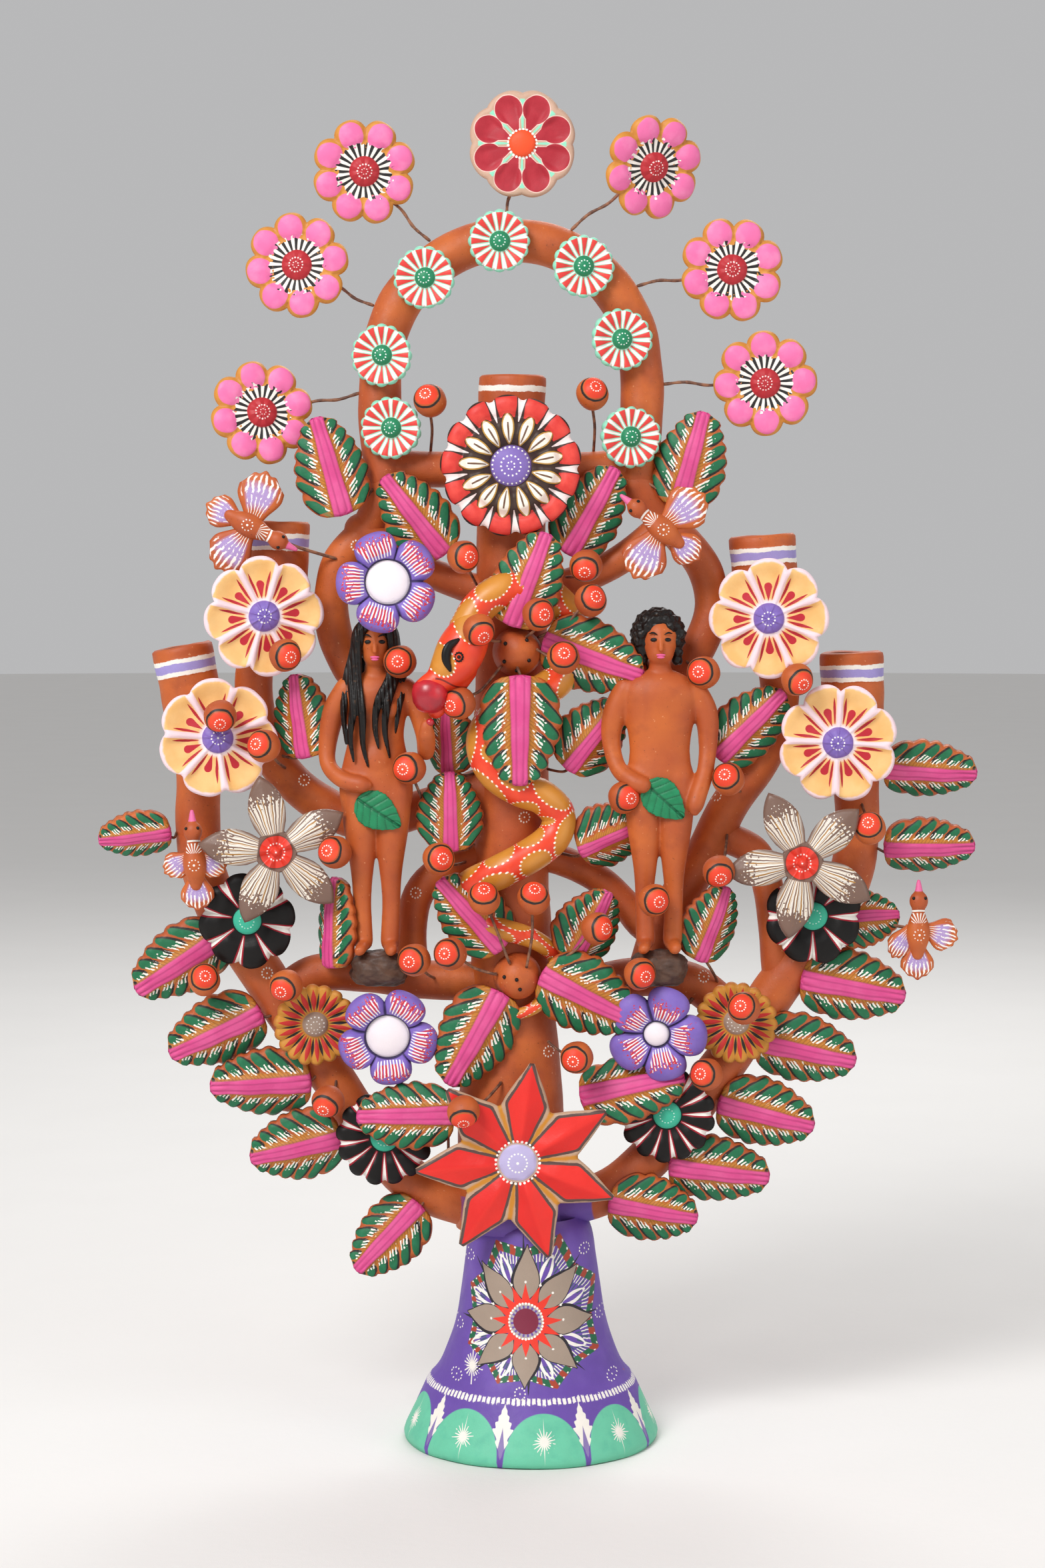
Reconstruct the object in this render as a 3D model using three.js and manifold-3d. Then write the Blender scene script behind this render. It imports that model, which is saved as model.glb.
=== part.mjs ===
// Clay tree of life: a low-fired terracotta candelabra tree with a hollow bell foot, bars of rolled clay,
// five candle cups, two figures, a serpent, and painted clay flowers and birds on iron wires.
// Millimetres, +Z up, front faces -Y. Origin: middle of the bell foot, on the table.
import * as THREE from 'three';
import { mergeVertices } from 'three/addons/utils/BufferGeometryUtils.js';
import { ParametricGeometry } from 'three/addons/geometries/ParametricGeometry.js';
import Module from 'manifold-3d';

const wasm = await Module();
wasm.setup();

// ---- driving dimensions ----
const GAP = 0.3;                 // left between pieces that touch
const TRUNK_X = -9;              // the trunk stands a little left of the foot's middle
const BELL_TOP = 100;            // height of the bell, where the trunk starts
const TRUNK_FOOT_R = 24;         // it is smeared wide where it stands on the bell
const TRUNK_WAIST_R = 18;
const TRUNK_HEAD_R = 15;
const TRUNK_TOP = 452;
const HOOP_Z = 484;              // centre of the arch's round top
const HOOP_R = 58;               // to the middle of the bar
const HOOP_BAR_R = 9.6;
const OUTER_BAR_R = 9.8;
const MIDDLE_BAR_R = 8;
const PEDESTAL_BAR_R = 8.5;
const UPPER_BAR_R = 7.5;
const STRUT_R = 6.5;
const CUP_WALL = 4;
const CUP_BORE_DEPTH = 27;
const SERPENT_R = 7.2;
const APPLE_R = 7.8;
const KNOB_R = 10.8;             // balls of clay on the trunk that hold a dozen short wires
const KNOB_Y = -22;
const ROCK_R = 12.5;
const ROCK_TALL = 14;
const ROSETTE_R = 13.5;
const ROSETTE_THICK = 4;
const ROSETTE_Y = -13;
const CROSSBAR_Z = 441;
const CROSSBAR_R = 8;
const CROSSBAR_ENDS = [-66, 48];
const BIRD_THICK = 3.2;
const LEAF_THICK = 3;
const WIRE_R = 0.7;
const STEM_R = 1;                // short wire behind a flower, with the slip that seals it
const WIRE_CLEAR = 1;            // from a short wire's end to the clay it is set in
const HEAD_FRONT = -10;          // how far the seven top flowers stand in front of the arch's plane
const HEAD_THICK = 4.5;

// ---- paints and bodies ----
const PAINT = {
  terracotta: ['#b65a2d', 0.78, 0],
  bell: ['#6a4f9e', 0.7, 0],
  skin: ['#bb5f30', 0.75, 0],
  rock: ['#4b3a34', 0.8, 0],
  serpent: ['#e0401c', 0.55, 0],
  apple: ['#a8141c', 0.45, 0],
  iron: ['#2a2320', 0.6, 0.7],
  red: ['#c02a2a', 0.6, 0],
  pink: ['#df4f93', 0.6, 0],
  purple: ['#8d79c9', 0.65, 0],
  cream: ['#eec486', 0.7, 0],
  brown: ['#7d6155', 0.5, 0.2],
  black: ['#1d1a1b', 0.45, 0],
  ochre: ['#c98a2c', 0.65, 0],
  leaf: ['#b0602f', 0.75, 0],
};

const tree = new THREE.Group();

// ---- helpers ----

/** A manifold solid from a closed three.js geometry, turned to face out. */
function solidOf(geometry) {
  const bare = new THREE.BufferGeometry();
  bare.setAttribute('position', geometry.attributes.position.clone());
  bare.setIndex(geometry.index);
  const merged = mergeVertices(bare, 1e-4);
  const corners = Array.from(merged.index.array);
  const triangles = [];
  for (let i = 0; i < corners.length; i += 3) {
    const [a, b, c] = corners.slice(i, i + 3);
    if (a !== b && b !== c && a !== c) triangles.push(a, b, c);
  }
  const position = merged.attributes.position;
  if (signedVolume(position, triangles) < 0) triangles.reverse();
  return new wasm.Manifold(new wasm.Mesh({
    numProp: 3,
    vertProperties: new Float32Array(position.array),
    triVerts: new Uint32Array(triangles),
  }));
}

function signedVolume(position, triangles) {
  const [a, b, c] = [new THREE.Vector3(), new THREE.Vector3(), new THREE.Vector3()];
  let sum = 0;
  for (let i = 0; i < triangles.length; i += 3) {
    a.fromBufferAttribute(position, triangles[i]);
    b.fromBufferAttribute(position, triangles[i + 1]);
    c.fromBufferAttribute(position, triangles[i + 2]);
    sum += a.dot(b.cross(c)) / 6;
  }
  return sum;
}

function geometryOf(solid) {
  const mesh = solid.getMesh();
  const geometry = new THREE.BufferGeometry();
  geometry.setAttribute('position', new THREE.BufferAttribute(new Float32Array(mesh.vertProperties), 3));
  geometry.setIndex(new THREE.BufferAttribute(new Uint32Array(mesh.triVerts), 1));
  const faceted = geometry.toNonIndexed();
  faceted.computeVertexNormals();
  return faceted;
}

/** Adds one named piece to the tree; at places its own origin and tilt turns it there. */
function addPiece(name, solid, paint, at = [0, 0, 0], tilt = [0, 0, 0]) {
  const [color, roughness, metalness] = PAINT[paint];
  const material = new THREE.MeshStandardMaterial({ color, roughness, metalness });
  const mesh = new THREE.Mesh(geometryOf(solid), material);
  mesh.name = name;
  mesh.position.set(...at);
  mesh.rotation.set(...tilt);
  tree.add(mesh);
  return mesh;
}

const union = (solids) => solids.reduce((sum, next) => sum.add(next));

/** A geometry moved and turned before it becomes a solid. */
function placed(geometry, at, turn = [0, 0, 0], size = [1, 1, 1]) {
  const place = new THREE.Matrix4().compose(
    new THREE.Vector3(...at),
    new THREE.Quaternion().setFromEuler(new THREE.Euler(...turn)),
    new THREE.Vector3(...size),
  );
  return solidOf(geometry.clone().applyMatrix4(place));
}

const ball = (at, size, slices = 8, rings = 6) =>
  placed(new THREE.SphereGeometry(1, slices, rings), at, [Math.PI / 2, 0, 0], [size[0], size[2], size[1]]);

/** A clay bar of round section swept through points [x, y, z]; radius is a number or a function of 0..1. */
function bar(points, radius, steps = 13, sides = 9) {
  const curve = new THREE.CatmullRomCurve3(points.map((p) => new THREE.Vector3(...p)), false, 'centripetal');
  const frames = curve.computeFrenetFrames(steps, false);
  const stacks = steps + 2;
  const ring = (u, v, target) => {
    const stack = Math.round(v * stacks);
    const step = Math.min(Math.max(stack - 1, 0), steps);
    const along = step / steps;
    const size = typeof radius === 'number' ? radius : radius(along);
    const r = stack === 0 || stack === stacks ? 0 : size;
    const angle = 2 * Math.PI * u;
    target.copy(curve.getPointAt(along));
    target.addScaledVector(frames.normals[step], r * Math.cos(angle));
    target.addScaledVector(frames.binormals[step], r * Math.sin(angle));
  };
  return solidOf(new ParametricGeometry(ring, sides, stacks));
}

const flat = (points) => points.map(([x, z]) => [x, 0, z]);

const turned = (profile, segments) =>
  placed(new THREE.LatheGeometry(profile.map(([r, z]) => new THREE.Vector2(r, z)), segments), [0, 0, 0],
    [Math.PI / 2, 0, 0]);

/** A plate cut to a closed outline in the X-Z plane; its front face is at y = 0 and it reaches back by thick. */
function plate(outline, thick) {
  const shape = new THREE.Shape(outline);
  const geometry = new THREE.ExtrudeGeometry(shape, { depth: thick, bevelEnabled: false, curveSegments: 3 });
  return placed(geometry, [0, 0, 0], [Math.PI / 2, 0, 0], [1, 1, -1]);
}

/** Outline of a flower with round or pointed petals: point > 1 sharpens the tips. */
function petalOutline(petals, tipR, notchR, perPetal, point = 0.5) {
  const count = petals * perPetal;
  return Array.from({ length: count }, (_, i) => {
    const angle = (2 * Math.PI * i) / count + Math.PI / 2;
    const swell = Math.abs(Math.cos((petals * (angle - Math.PI / 2)) / 2)) ** point;
    const r = notchR + (tipR - notchR) * swell;
    return new THREE.Vector2(r * Math.cos(angle), r * Math.sin(angle));
  });
}

// ---- bell foot ----
const BELL_OUTSIDE = [
  [58, 0], [57.5, 4], [53, 14], [48.5, 24], [46.5, 27.5], [41.5, 31], [37.5, 42], [33.5, 56], [30.5, 76],
  [29, 92], [26, BELL_TOP],
];
const BELL_INSIDE = [[23, 86], [25, 70], [29, 52], [35, 34], [43, 20], [51, 0]];
addPiece('base_bell', turned([[0, BELL_TOP], ...BELL_OUTSIDE.slice().reverse(), ...BELL_INSIDE.slice().reverse(),
  [0, 86]], 28), 'bell');
const bellRoom = turned([[0, -1], ...BELL_OUTSIDE.map(([r, z]) => [r + GAP, z + GAP]), [0, BELL_TOP + GAP]], 28);

// ---- bars of the frame, each cut back from the bars it leans on ----
const OUTER_LEFT = flat([[-149, 326], [-150, 300], [-150, 268], [-141, 241], [-124, 216], [-108, 191], [-90, 164],
  [-72, 137], [-54, 117], [-31, 107], [TRUNK_X, 104]]);
const OUTER_RIGHT = flat([[146, 322], [147, 298], [146, 264], [133, 232], [112, 207], [95, 182], [77, 157], [57, 131],
  [37, 114], [15, 106], [TRUNK_X, 104]]);
const MIDDLE_LEFT = flat([[TRUNK_X, 299], [-30, 294], [-71, 282], [-95, 290], [-114, 307], [-124, 330], [-124, 352],
  [-118, 368], [-115, 383]]);
const MIDDLE_RIGHT = flat([[53, 212], [60, 235], [76, 262], [90, 290], [105, 313], [112, 337], [110, 356],
  [107, 376]]);
const PEDESTAL_LEFT = flat([[TRUNK_X, 209], [-30, 209], [-53, 210], [-75, 213], [-96, 213], [-112, 203]]);
const PEDESTAL_RIGHT = flat([[TRUNK_X, 206], [15, 206], [49, 211], [72, 209], [88, 197], [97, 186]]);
const UPPER_LEFT = flat([[-64, 434], [-73, 415], [-86, 399], [-90, 382], [-88, 365], [-82, 351], [-76, 344]]);
const UPPER_RIGHT = flat([[47, 434], [60, 418], [76, 399], [81, 382], [78, 366], [70, 352], [62, 346]]);
const LOWER_STRUTS = [
  flat([[TRUNK_X, 266], [-30, 263], [-48, 254], [-54, 236], [-54, 212]]),
  flat([[TRUNK_X, 268], [12, 265], [29, 257], [42, 245], [50, 236], [58, 231]]),
];
const SIDE_STRUT = flat([[85, 276], [101, 268], [108, 250], [110, 230], [112, 212]]);
const HEAD_STRUTS = [
  flat([[TRUNK_X, 382], [-30, 388], [-53, 398], [-76, 413]]),
  flat([[TRUNK_X, 384], [14, 388], [38, 399], [62, 416]]),
];
const WIRE_KNOBS = [359, 214];

/** Radius of the trunk from its foot, 0, to its head, 1: a wide foot that draws in over a quarter of the height. */
function trunkRadius(t) {
  const shaft = TRUNK_WAIST_R + (TRUNK_HEAD_R - TRUNK_WAIST_R) * t;
  const flare = (TRUNK_FOOT_R - TRUNK_WAIST_R) * Math.exp(-((t / 0.24) ** 4));
  return shaft + flare;
}
const TRUNK_MIDDLE = (BELL_TOP + TRUNK_TOP) / 2;
const column = (grow) => bar([[TRUNK_X, 0, BELL_TOP + GAP], [TRUNK_X, 0, TRUNK_MIDDLE], [TRUNK_X, 0, TRUNK_TOP]],
  (t) => trunkRadius(t) + grow, 7, 14);

/** One bar, cut back from each of the solids it meets. */
function fittedBar(points, radius, rooms, steps = 13) {
  return rooms.reduce((sum, room) => sum.subtract(room), bar(points, radius, steps));
}

const columnRoom = column(GAP);
const roomFor = (points, radius, steps = 13) => bar(points, radius + GAP, steps);

// ---- candle cups: turned tubes, closed below, with a candle bore ----
const CUPS = [
  { name: 'candle_cup_top', r: 15, tall: 29.7, base: [TRUNK_X, 0, TRUNK_TOP + GAP], lean: 0.02 },
  { name: 'candle_cup_middle_left', r: 14.6, tall: 42, base: [-115, 0, 375], lean: 0.02 },
  { name: 'candle_cup_middle_right', r: 14.8, tall: 42, base: [106.5, 0, 369], lean: -0.07 },
  { name: 'candle_cup_outer_left', r: 13.6, tall: 45, base: [-149, 0, 317], lean: -0.19 },
  { name: 'candle_cup_outer_right', r: 14.2, tall: 44, base: [145.5, 0, 314.5], lean: -0.03 },
];

function cupSolid(cup) {
  const bore = cup.r - CUP_WALL;
  const floor = cup.tall - CUP_BORE_DEPTH;
  return turned([[0, 0], [cup.r - 1.5, 0], [cup.r, 2], [cup.r, cup.tall - 1], [cup.r - 1, cup.tall],
    [bore, cup.tall], [bore, floor], [0, floor]], 16);
}

function cupRoom(cup) {
  const block = new THREE.CylinderGeometry(cup.r + GAP, cup.r + GAP, cup.tall, 16);
  const middle = [0, 0, cup.tall / 2 - GAP];
  const upright = placed(block, middle, [Math.PI / 2, 0, 0]);
  return placed(geometryOf(upright), cup.base, [0, cup.lean, 0]);
}

for (const cup of CUPS) addPiece(cup.name, cupSolid(cup), 'terracotta', cup.base, [0, cup.lean, 0]);
const [, cupMiddleLeft, cupMiddleRight, cupOuterLeft, cupOuterRight] = CUPS.map(cupRoom);

// ---- arch: a round hoop on two crossbars, with its seven striped rosettes ----
const hoopPoint = (degrees, r = HOOP_R) => {
  const angle = THREE.MathUtils.degToRad(degrees);
  return [TRUNK_X + r * Math.cos(angle), 0, HOOP_Z + r * Math.sin(angle)];
};
const hoopArc = [180, 155, 130, 105, 75, 50, 25, 0].map((degrees) => hoopPoint(degrees));
const HOOP_LEGS = [[TRUNK_X - HOOP_R + 2, 0, 438], [TRUNK_X + HOOP_R - 2, 0, 438]];
const hoopPath = [HOOP_LEGS[0], [TRUNK_X - HOOP_R, 0, 460], ...hoopArc, [TRUNK_X + HOOP_R, 0, 460], HOOP_LEGS[1]];
const ROSETTES = [[-14, 540], [-47, 524], [-66, 490], [-62, 458], [23, 529], [40, 497], [44, 454]];

function rosette([x, z]) {
  const disc = new THREE.CylinderGeometry(ROSETTE_R, ROSETTE_R - 3, ROSETTE_THICK, 10);
  const stem = new THREE.CylinderGeometry(5, 5, 2 * ROSETTE_THICK, 5);
  return placed(disc, [x, ROSETTE_Y, z]).add(placed(stem, [x, ROSETTE_Y + 5, z]));
}

const crossbar = (x, r = CROSSBAR_R) =>
  bar([[x, 0, CROSSBAR_Z], [(x + TRUNK_X) / 2, 0, CROSSBAR_Z], [TRUNK_X, 0, CROSSBAR_Z]], r, 3);
const hoop = union([
  bar(hoopPath, HOOP_BAR_R, 22, 10),
  ...CROSSBAR_ENDS.map((x) => crossbar(x)),
  ...ROSETTES.map(rosette),
]);
addPiece('arch_hoop', hoop.subtract(columnRoom), 'terracotta');
const hoopRoom = union([
  bar(hoopPath, HOOP_BAR_R + GAP, 22, 10),
  ...CROSSBAR_ENDS.map((x) => crossbar(x + Math.sign(x) * 4, CROSSBAR_R + GAP)),
]);

// ---- the bars ----
const pedestalRooms = [roomFor(PEDESTAL_LEFT, PEDESTAL_BAR_R), roomFor(PEDESTAL_RIGHT, PEDESTAL_BAR_R)];
const upperRooms = [roomFor(UPPER_LEFT, UPPER_BAR_R), roomFor(UPPER_RIGHT, UPPER_BAR_R)];
const outerRooms = [roomFor(OUTER_LEFT, OUTER_BAR_R, 18), roomFor(OUTER_RIGHT, OUTER_BAR_R, 18)];
const middleRightRoom = roomFor(MIDDLE_RIGHT, MIDDLE_BAR_R);

addPiece('outer_arm_left', fittedBar(OUTER_LEFT, OUTER_BAR_R, [columnRoom, bellRoom, cupOuterLeft], 18), 'terracotta');
addPiece('outer_arm_right', fittedBar(OUTER_RIGHT, OUTER_BAR_R, [columnRoom, bellRoom, cupOuterRight], 18),
  'terracotta');
addPiece('middle_arm_left', fittedBar(MIDDLE_LEFT, MIDDLE_BAR_R, [columnRoom, cupMiddleLeft], 15), 'terracotta');
const middleRight = bar(MIDDLE_RIGHT, MIDDLE_BAR_R).add(bar(SIDE_STRUT, STRUT_R, 6, 8));
addPiece('middle_arm_right', middleRight.subtract(pedestalRooms[1]).subtract(cupMiddleRight).subtract(outerRooms[1]),
  'terracotta');
addPiece('pedestal_arm_left', fittedBar(PEDESTAL_LEFT, PEDESTAL_BAR_R, [columnRoom, outerRooms[0]]), 'terracotta');
addPiece('pedestal_arm_right', fittedBar(PEDESTAL_RIGHT, PEDESTAL_BAR_R, [columnRoom, outerRooms[1]]), 'terracotta');
addPiece('upper_arm_left', fittedBar(UPPER_LEFT, UPPER_BAR_R, [hoopRoom]), 'terracotta');
addPiece('upper_arm_right', fittedBar(UPPER_RIGHT, UPPER_BAR_R, [hoopRoom]), 'terracotta');

const knobs = WIRE_KNOBS.map((z) => ball([TRUNK_X + 3, KNOB_Y, z], [KNOB_R, KNOB_R, KNOB_R]));
const struts = [...LOWER_STRUTS, ...HEAD_STRUTS].map((points) => bar(points, STRUT_R, 6, 8));
const trunk = [pedestalRooms[0], middleRightRoom, ...upperRooms].reduce((sum, room) => sum.subtract(room),
  union([column(0), ...struts, ...knobs]));
addPiece('trunk', trunk, 'terracotta');

// ---- serpent round the trunk, and the apple in its mouth ----
const APPLE_AT = [-44, -39, 341];
const SERPENT = [[-29, -33, 366], [-23, -30, 379], [-11, -27.5, 387], [4, -22, 386], [15, -15, 377], [17, -14, 362],
  [12, -19, 347], [-2, -25.5, 338], [-16, -26, 330], [-21.5, -25, 318], [-16.5, -25.5, 306], [-6, -25, 298.5],
  [5, -23.5, 294.5], [12, -20, 286], [9.5, -21, 276.5], [-1, -24.5, 268.5], [-13, -25.5, 262], [-27, -19, 255],
  [-33, -3, 247], [-29, -15, 240], [-14, -24, 236], [1, -22, 231], [11, -17, 222], [10, -18, 210], [1, -23, 200],
  [-12, -23, 196]];
const serpentRadius = (t) => SERPENT_R * (t < 0.6 ? 1 : 1 - 0.75 * ((t - 0.6) / 0.4));
const serpentHead = bar([[-27, -33, 370], [-33, -34, 360], [-40, -36, 349], [-43, -37, 344]],
  (t) => 7.4 + 2 * Math.sin(Math.PI * t) - 2 * t * t, 6);
const appleRoom = ball(APPLE_AT, [APPLE_R + 0.4, APPLE_R + 0.4, APPLE_R + 0.4], 10, 8);
const serpent = union([bar(SERPENT, serpentRadius, 56, 7), serpentHead]);
addPiece('serpent', serpent.subtract(columnRoom).subtract(appleRoom), 'serpent');
addPiece('apple', ball([0, 0, 0], [APPLE_R, APPLE_R, APPLE_R], 10, 8), 'apple', APPLE_AT);

// ---- rocks and figures ----
function rock([x, z], room) {
  const lump = new THREE.CylinderGeometry(ROCK_R - 1, ROCK_R, ROCK_TALL, 9);
  return placed(lump, [x, -22, z], [Math.PI / 2, 0, 0], [1, 1, 1.15]).subtract(room);
}
const WOMAN_AT = [-69, -21, 224.4];
const MAN_AT = [57, -23, 225.4];
addPiece('rock_woman', rock([WOMAN_AT[0], 217], pedestalRooms[0]), 'rock');
addPiece('rock_man', rock([MAN_AT[0], 218], union([pedestalRooms[1], middleRightRoom])), 'rock');

/** Body of a modelled figure, standing on z = 0, with arms given as lists of points. */
function figure(hipR, arms, hair) {
  const torso = placed(new THREE.LatheGeometry([[0, 64], [11, 66], [hipR, 76], [12.5, 94], [15.5, 112], [15, 119],
    [7, 124.5], [4.6, 129], [0, 132]].map(([r, z]) => new THREE.Vector2(r, z)), 10), [0, 0, 0],
  [Math.PI / 2, 0, 0], [1, 1, 0.58]);
  const leg = (side) => bar([[6 * side, -2, 0], [6.5 * side, 0, 40], [7.5 * side, 0, 76]], (t) => 4.4 + 3.4 * t, 2, 7);
  const foot = (side) => ball([6 * side, -4, 2.5], [4, 7, 2.5], 7, 4);
  const limbs = arms.map((points) => bar(points, (t) => 4.6 - 1.6 * t, 6, 6));
  const head = ball([0, -1, 137], [8, 8.5, 10.5]);
  return union([torso, leg(-1), leg(1), foot(-1), foot(1), head, ...limbs, ...hair]);
}

const womanArms = [
  [[-16, 0, 118], [-22, 1, 100], [-22, -1, 82], [-13, -9, 74], [-6, -11, 73]],
  [[16, 0, 118], [20, 1, 103], [22, -2, 88], [23, -12, 92], [23, -18, 99]],
];
const womanHair = [
  ball([0, 1, 139], [10, 9, 11.5]),
  bar([[-8, 0, 138], [-11, -3, 122], [-9, -8, 104], [-8, -9, 84]], 3, 3, 6),
  bar([[8, 0, 138], [10, -3, 122], [9, -8, 106], [8, -9, 94]], 3, 3, 6),
];
const manArms = [
  [[-16, 0, 117], [-20, 1, 97], [-17, -4, 80], [-9, -9.5, 75]],
  [[16, 0, 117], [20, 1, 96], [19, -3, 80], [15, -7.5, 68]],
];
const manHair = [ball([0, 1, 140], [10.5, 9.5, 11])];
addPiece('woman_figure', figure(17, womanArms, womanHair), 'skin', WOMAN_AT);
addPiece('man_figure', figure(14.5, manArms, manHair), 'skin', MAN_AT);

// ---- clay flowers, each held by a short iron wire in the bar or cup behind it ----

const FLOWER_KINDS = {
  centre: { outline: petalOutline(13, 31.5, 27, 3), thick: 6, dome: 9, paint: 'red' },
  poinsettia: { outline: petalOutline(7, 44.5, 25, 4, 1.3), thick: 5, dome: 8.5, paint: 'red' },
  purple: { outline: petalOutline(5, 22.5, 14, 5), thick: 6, dome: 9.5, paint: 'purple' },
  cream: { outline: petalOutline(8, 26.5, 22, 4), thick: 5, dome: 7, paint: 'cream' },
  star: { outline: petalOutline(5, 34, 9, 4, 1.6), thick: 5, dome: 7.5, paint: 'brown' },
  black: { outline: petalOutline(9, 21.5, 17, 3), thick: 5, dome: 7, paint: 'black' },
  daisy: { outline: petalOutline(16, 18.5, 16.5, 2), thick: 4.5, dome: 6.5, paint: 'ochre' },
  pink: { outline: petalOutline(8, 22.8, 19, 4), thick: HEAD_THICK, dome: 8, paint: 'pink' },
  top: { outline: petalOutline(8, 23.8, 19, 4), thick: HEAD_THICK, dome: 8, paint: 'red' },
};

/** Petalled plate with a domed middle, turned in its own plane by a number of degrees. */
function petals({ outline, thick, dome }, degrees = 0) {
  const front = plate(outline, thick).add(ball([0, -0.5, 0], [dome, dome * 0.5, dome], 7, 4));
  return placed(geometryOf(front), [0, 0, 0], [0, -THREE.MathUtils.degToRad(degrees), 0]);
}

// name, kind, middle of the plate's front, where its wire meets the clay [dx, y, dz], turn in degrees
const FLOWERS = [
  ['centre_flower', 'centre', [-9, -26, 441], [0, -15.2, 0], 0],
  ['poinsettia', 'poinsettia', [-6, -34, 134], [0, -24.6, 0], -13],
  ['purple_flower_upper', 'purple', [-63, -37, 390], [0, -6.5, 13], 18],
  ['purple_flower_left', 'purple', [-64, -26, 187], [-18, -9.8, -8], 180],
  ['purple_flower_right', 'purple', [56, -24.5, 188], [17, -8.5, 14], 185],
  ['cream_flower_middle_left', 'cream', [-118, -28, 375], [3, -14.9, 0], 0],
  ['cream_flower_outer_left', 'cream', [-139, -25, 321], [-9, -13.8, 0], 0],
  ['cream_flower_middle_right', 'cream', [105, -25, 374], [0, -15, 0], 0],
  ['cream_flower_outer_right', 'cream', [136, -24, 319], [9, -14.4, 0], 0],
  ['star_flower_left', 'star', [-113, -31, 271], [-30, -9.8, 0], 12],
  ['star_flower_right', 'star', [120, -30, 266], [-15, -6.5, -6], 26],
  ['black_flower_left', 'black', [-127, -18.5, 239], [-13, -9.8, 0], 0],
  ['black_flower_right', 'black', [126, -18.5, 241], [12, -9.8, 0], 0],
  ['black_flower_lower_left', 'black', [-66, -19, 141], [-6, -9.8, -4], 0],
  ['black_flower_lower_right', 'black', [61, -17, 151], [8, -9.8, -6], 0],
  ['daisy_left', 'daisy', [-97, -17.5, 192], [-11, -9.8, 0], 0],
  ['daisy_right', 'daisy', [92, -17.5, 193], [9, -9.8, 0], 0],
];
for (const [name, kind, at, [dx, clayY, dz], degrees] of FLOWERS) {
  const { thick, paint } = FLOWER_KINDS[kind];
  const reach = clayY - WIRE_CLEAR - at[1];
  const wire = bar([[0, thick - 1, 0], [dx * 0.4, (thick + reach) / 2, dz * 0.4], [dx, reach, dz]], STEM_R, 1, 5);
  addPiece(name, petals(FLOWER_KINDS[kind], degrees).add(wire), paint, at);
}

// ---- seven flowers on iron wires round the arch: the wire sways at the clay, the head nods at its tip ----
// name, wire foot [x, z], middle of the head [x, z]
const TOP_FLOWERS = [
  ['top', [-11, 552.3], [-4, 583]],
  ['left_high', [-45.5, 541.7], [-74, 571]],
  ['left_mid', [-70.8, 513], [-104, 530]],
  ['left_low', [-77.2, 474], [-120, 465]],
  ['right_high', [18.2, 546.6], [54, 573]],
  ['right_mid', [47.7, 521.6], [89, 528]],
  ['right_low', [59.2, 478], [104, 478]],
];
const HEAD_BACK = HEAD_FRONT + HEAD_THICK;
for (const [place, [footX, footZ], [headX, headZ]] of TOP_FLOWERS) {
  const between = (share) => [footX + (headX - footX) * share, footZ + (headZ - footZ) * share];
  const [midX, midZ] = between(0.5);
  const [nearX, nearZ] = between(0.93);
  const wire = bar([[footX, 0, footZ], [midX, -0.3, midZ], [nearX, -0.6, nearZ],
    [headX, HEAD_BACK + 3.2, headZ]], WIRE_R, 6, 5);
  addPiece(`flower_wire_${place}`, wire, 'iron');
  const boss = placed(new THREE.CylinderGeometry(3.4, 2.6, 3, 8), [0, HEAD_THICK + 0.6, 0]);
  const kind = FLOWER_KINDS[place === 'top' ? 'top' : 'pink'];
  addPiece(`flower_head_${place}`, petals(kind).add(boss), kind.paint, [headX, HEAD_FRONT, headZ]);
}

// ---- birds with spread wings on wires ----

/** A bird seen from above, head towards +X in its own X-Z plane, wings and tail as given lengths. */
function bird(wing, tail, wire) {
  const half = [[21, 1.2], [13, 4.5], [8, 6], [7, wing * 0.6], [3.5, wing], [-1.5, wing * 0.8], [-5, 7],
    [-tail * 0.8, 8], [-tail, 3]];
  const mirrored = half.slice().reverse().map(([x, z]) => [x, -z]);
  const outline = [...half, ...mirrored].map(([x, z]) => new THREE.Vector2(x, z));
  const body = ball([2, 1, 0], [10, 4.5, 6.5], 7, 5);
  const head = ball([12, 0.5, 0], [6, 5, 5.2], 6, 5);
  return union([plate(outline, BIRD_THICK), body, head, wire]);
}

// name, place, heading of the head in degrees, wing length, tail length, wire points in the bird's own frame
const BIRDS = [
  ['bird_upper_left', [-125, -21, 415], -27, 27, 16, [[6, 2, 0], [24, 6, 2], [40, 12.6, 3.8]]],
  ['bird_upper_right', [58, -25, 413], 141, 24, 20, [[2, 2, 0], [0, 8, 0], [-6, 16.7, -2]]],
  ['bird_left', [-151, -25, 262], 93, 12.5, 15, [[2, 2, 0], [2, 8, 0], [2, 14.4, 0]]],
  ['bird_right', [173, -18, 233], 90, 14, 18, [[0, 2, 0], [5, 9, 12], [10, 16, 23.4]]],
];
for (const [name, at, heading, wing, tail, wirePoints] of BIRDS) {
  const wire = bar(wirePoints, STEM_R, 2, 5);
  addPiece(name, bird(wing, tail, wire), 'terracotta', at, [0, -THREE.MathUtils.degToRad(heading), 0]);
}

// ---- the outermost leaves, each on a short wire ----
function leaf(long, wide, wireLong) {
  const half = [[0, 0.3], [0.07, 0.75], [0.3, 1], [0.6, 0.85], [0.85, 0.5], [1, 0.1]];
  const right = half.map(([t, w]) => new THREE.Vector2(w * wide / 2, t * long));
  const left = right.slice().reverse().map((p) => new THREE.Vector2(-p.x, p.y));
  const wire = bar([[0, 1.5, 4], [0, 1.8, -wireLong]], WIRE_R + 0.2, 1, 6);
  return plate([...right, ...left], LEAF_THICK).add(wire);
}

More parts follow.
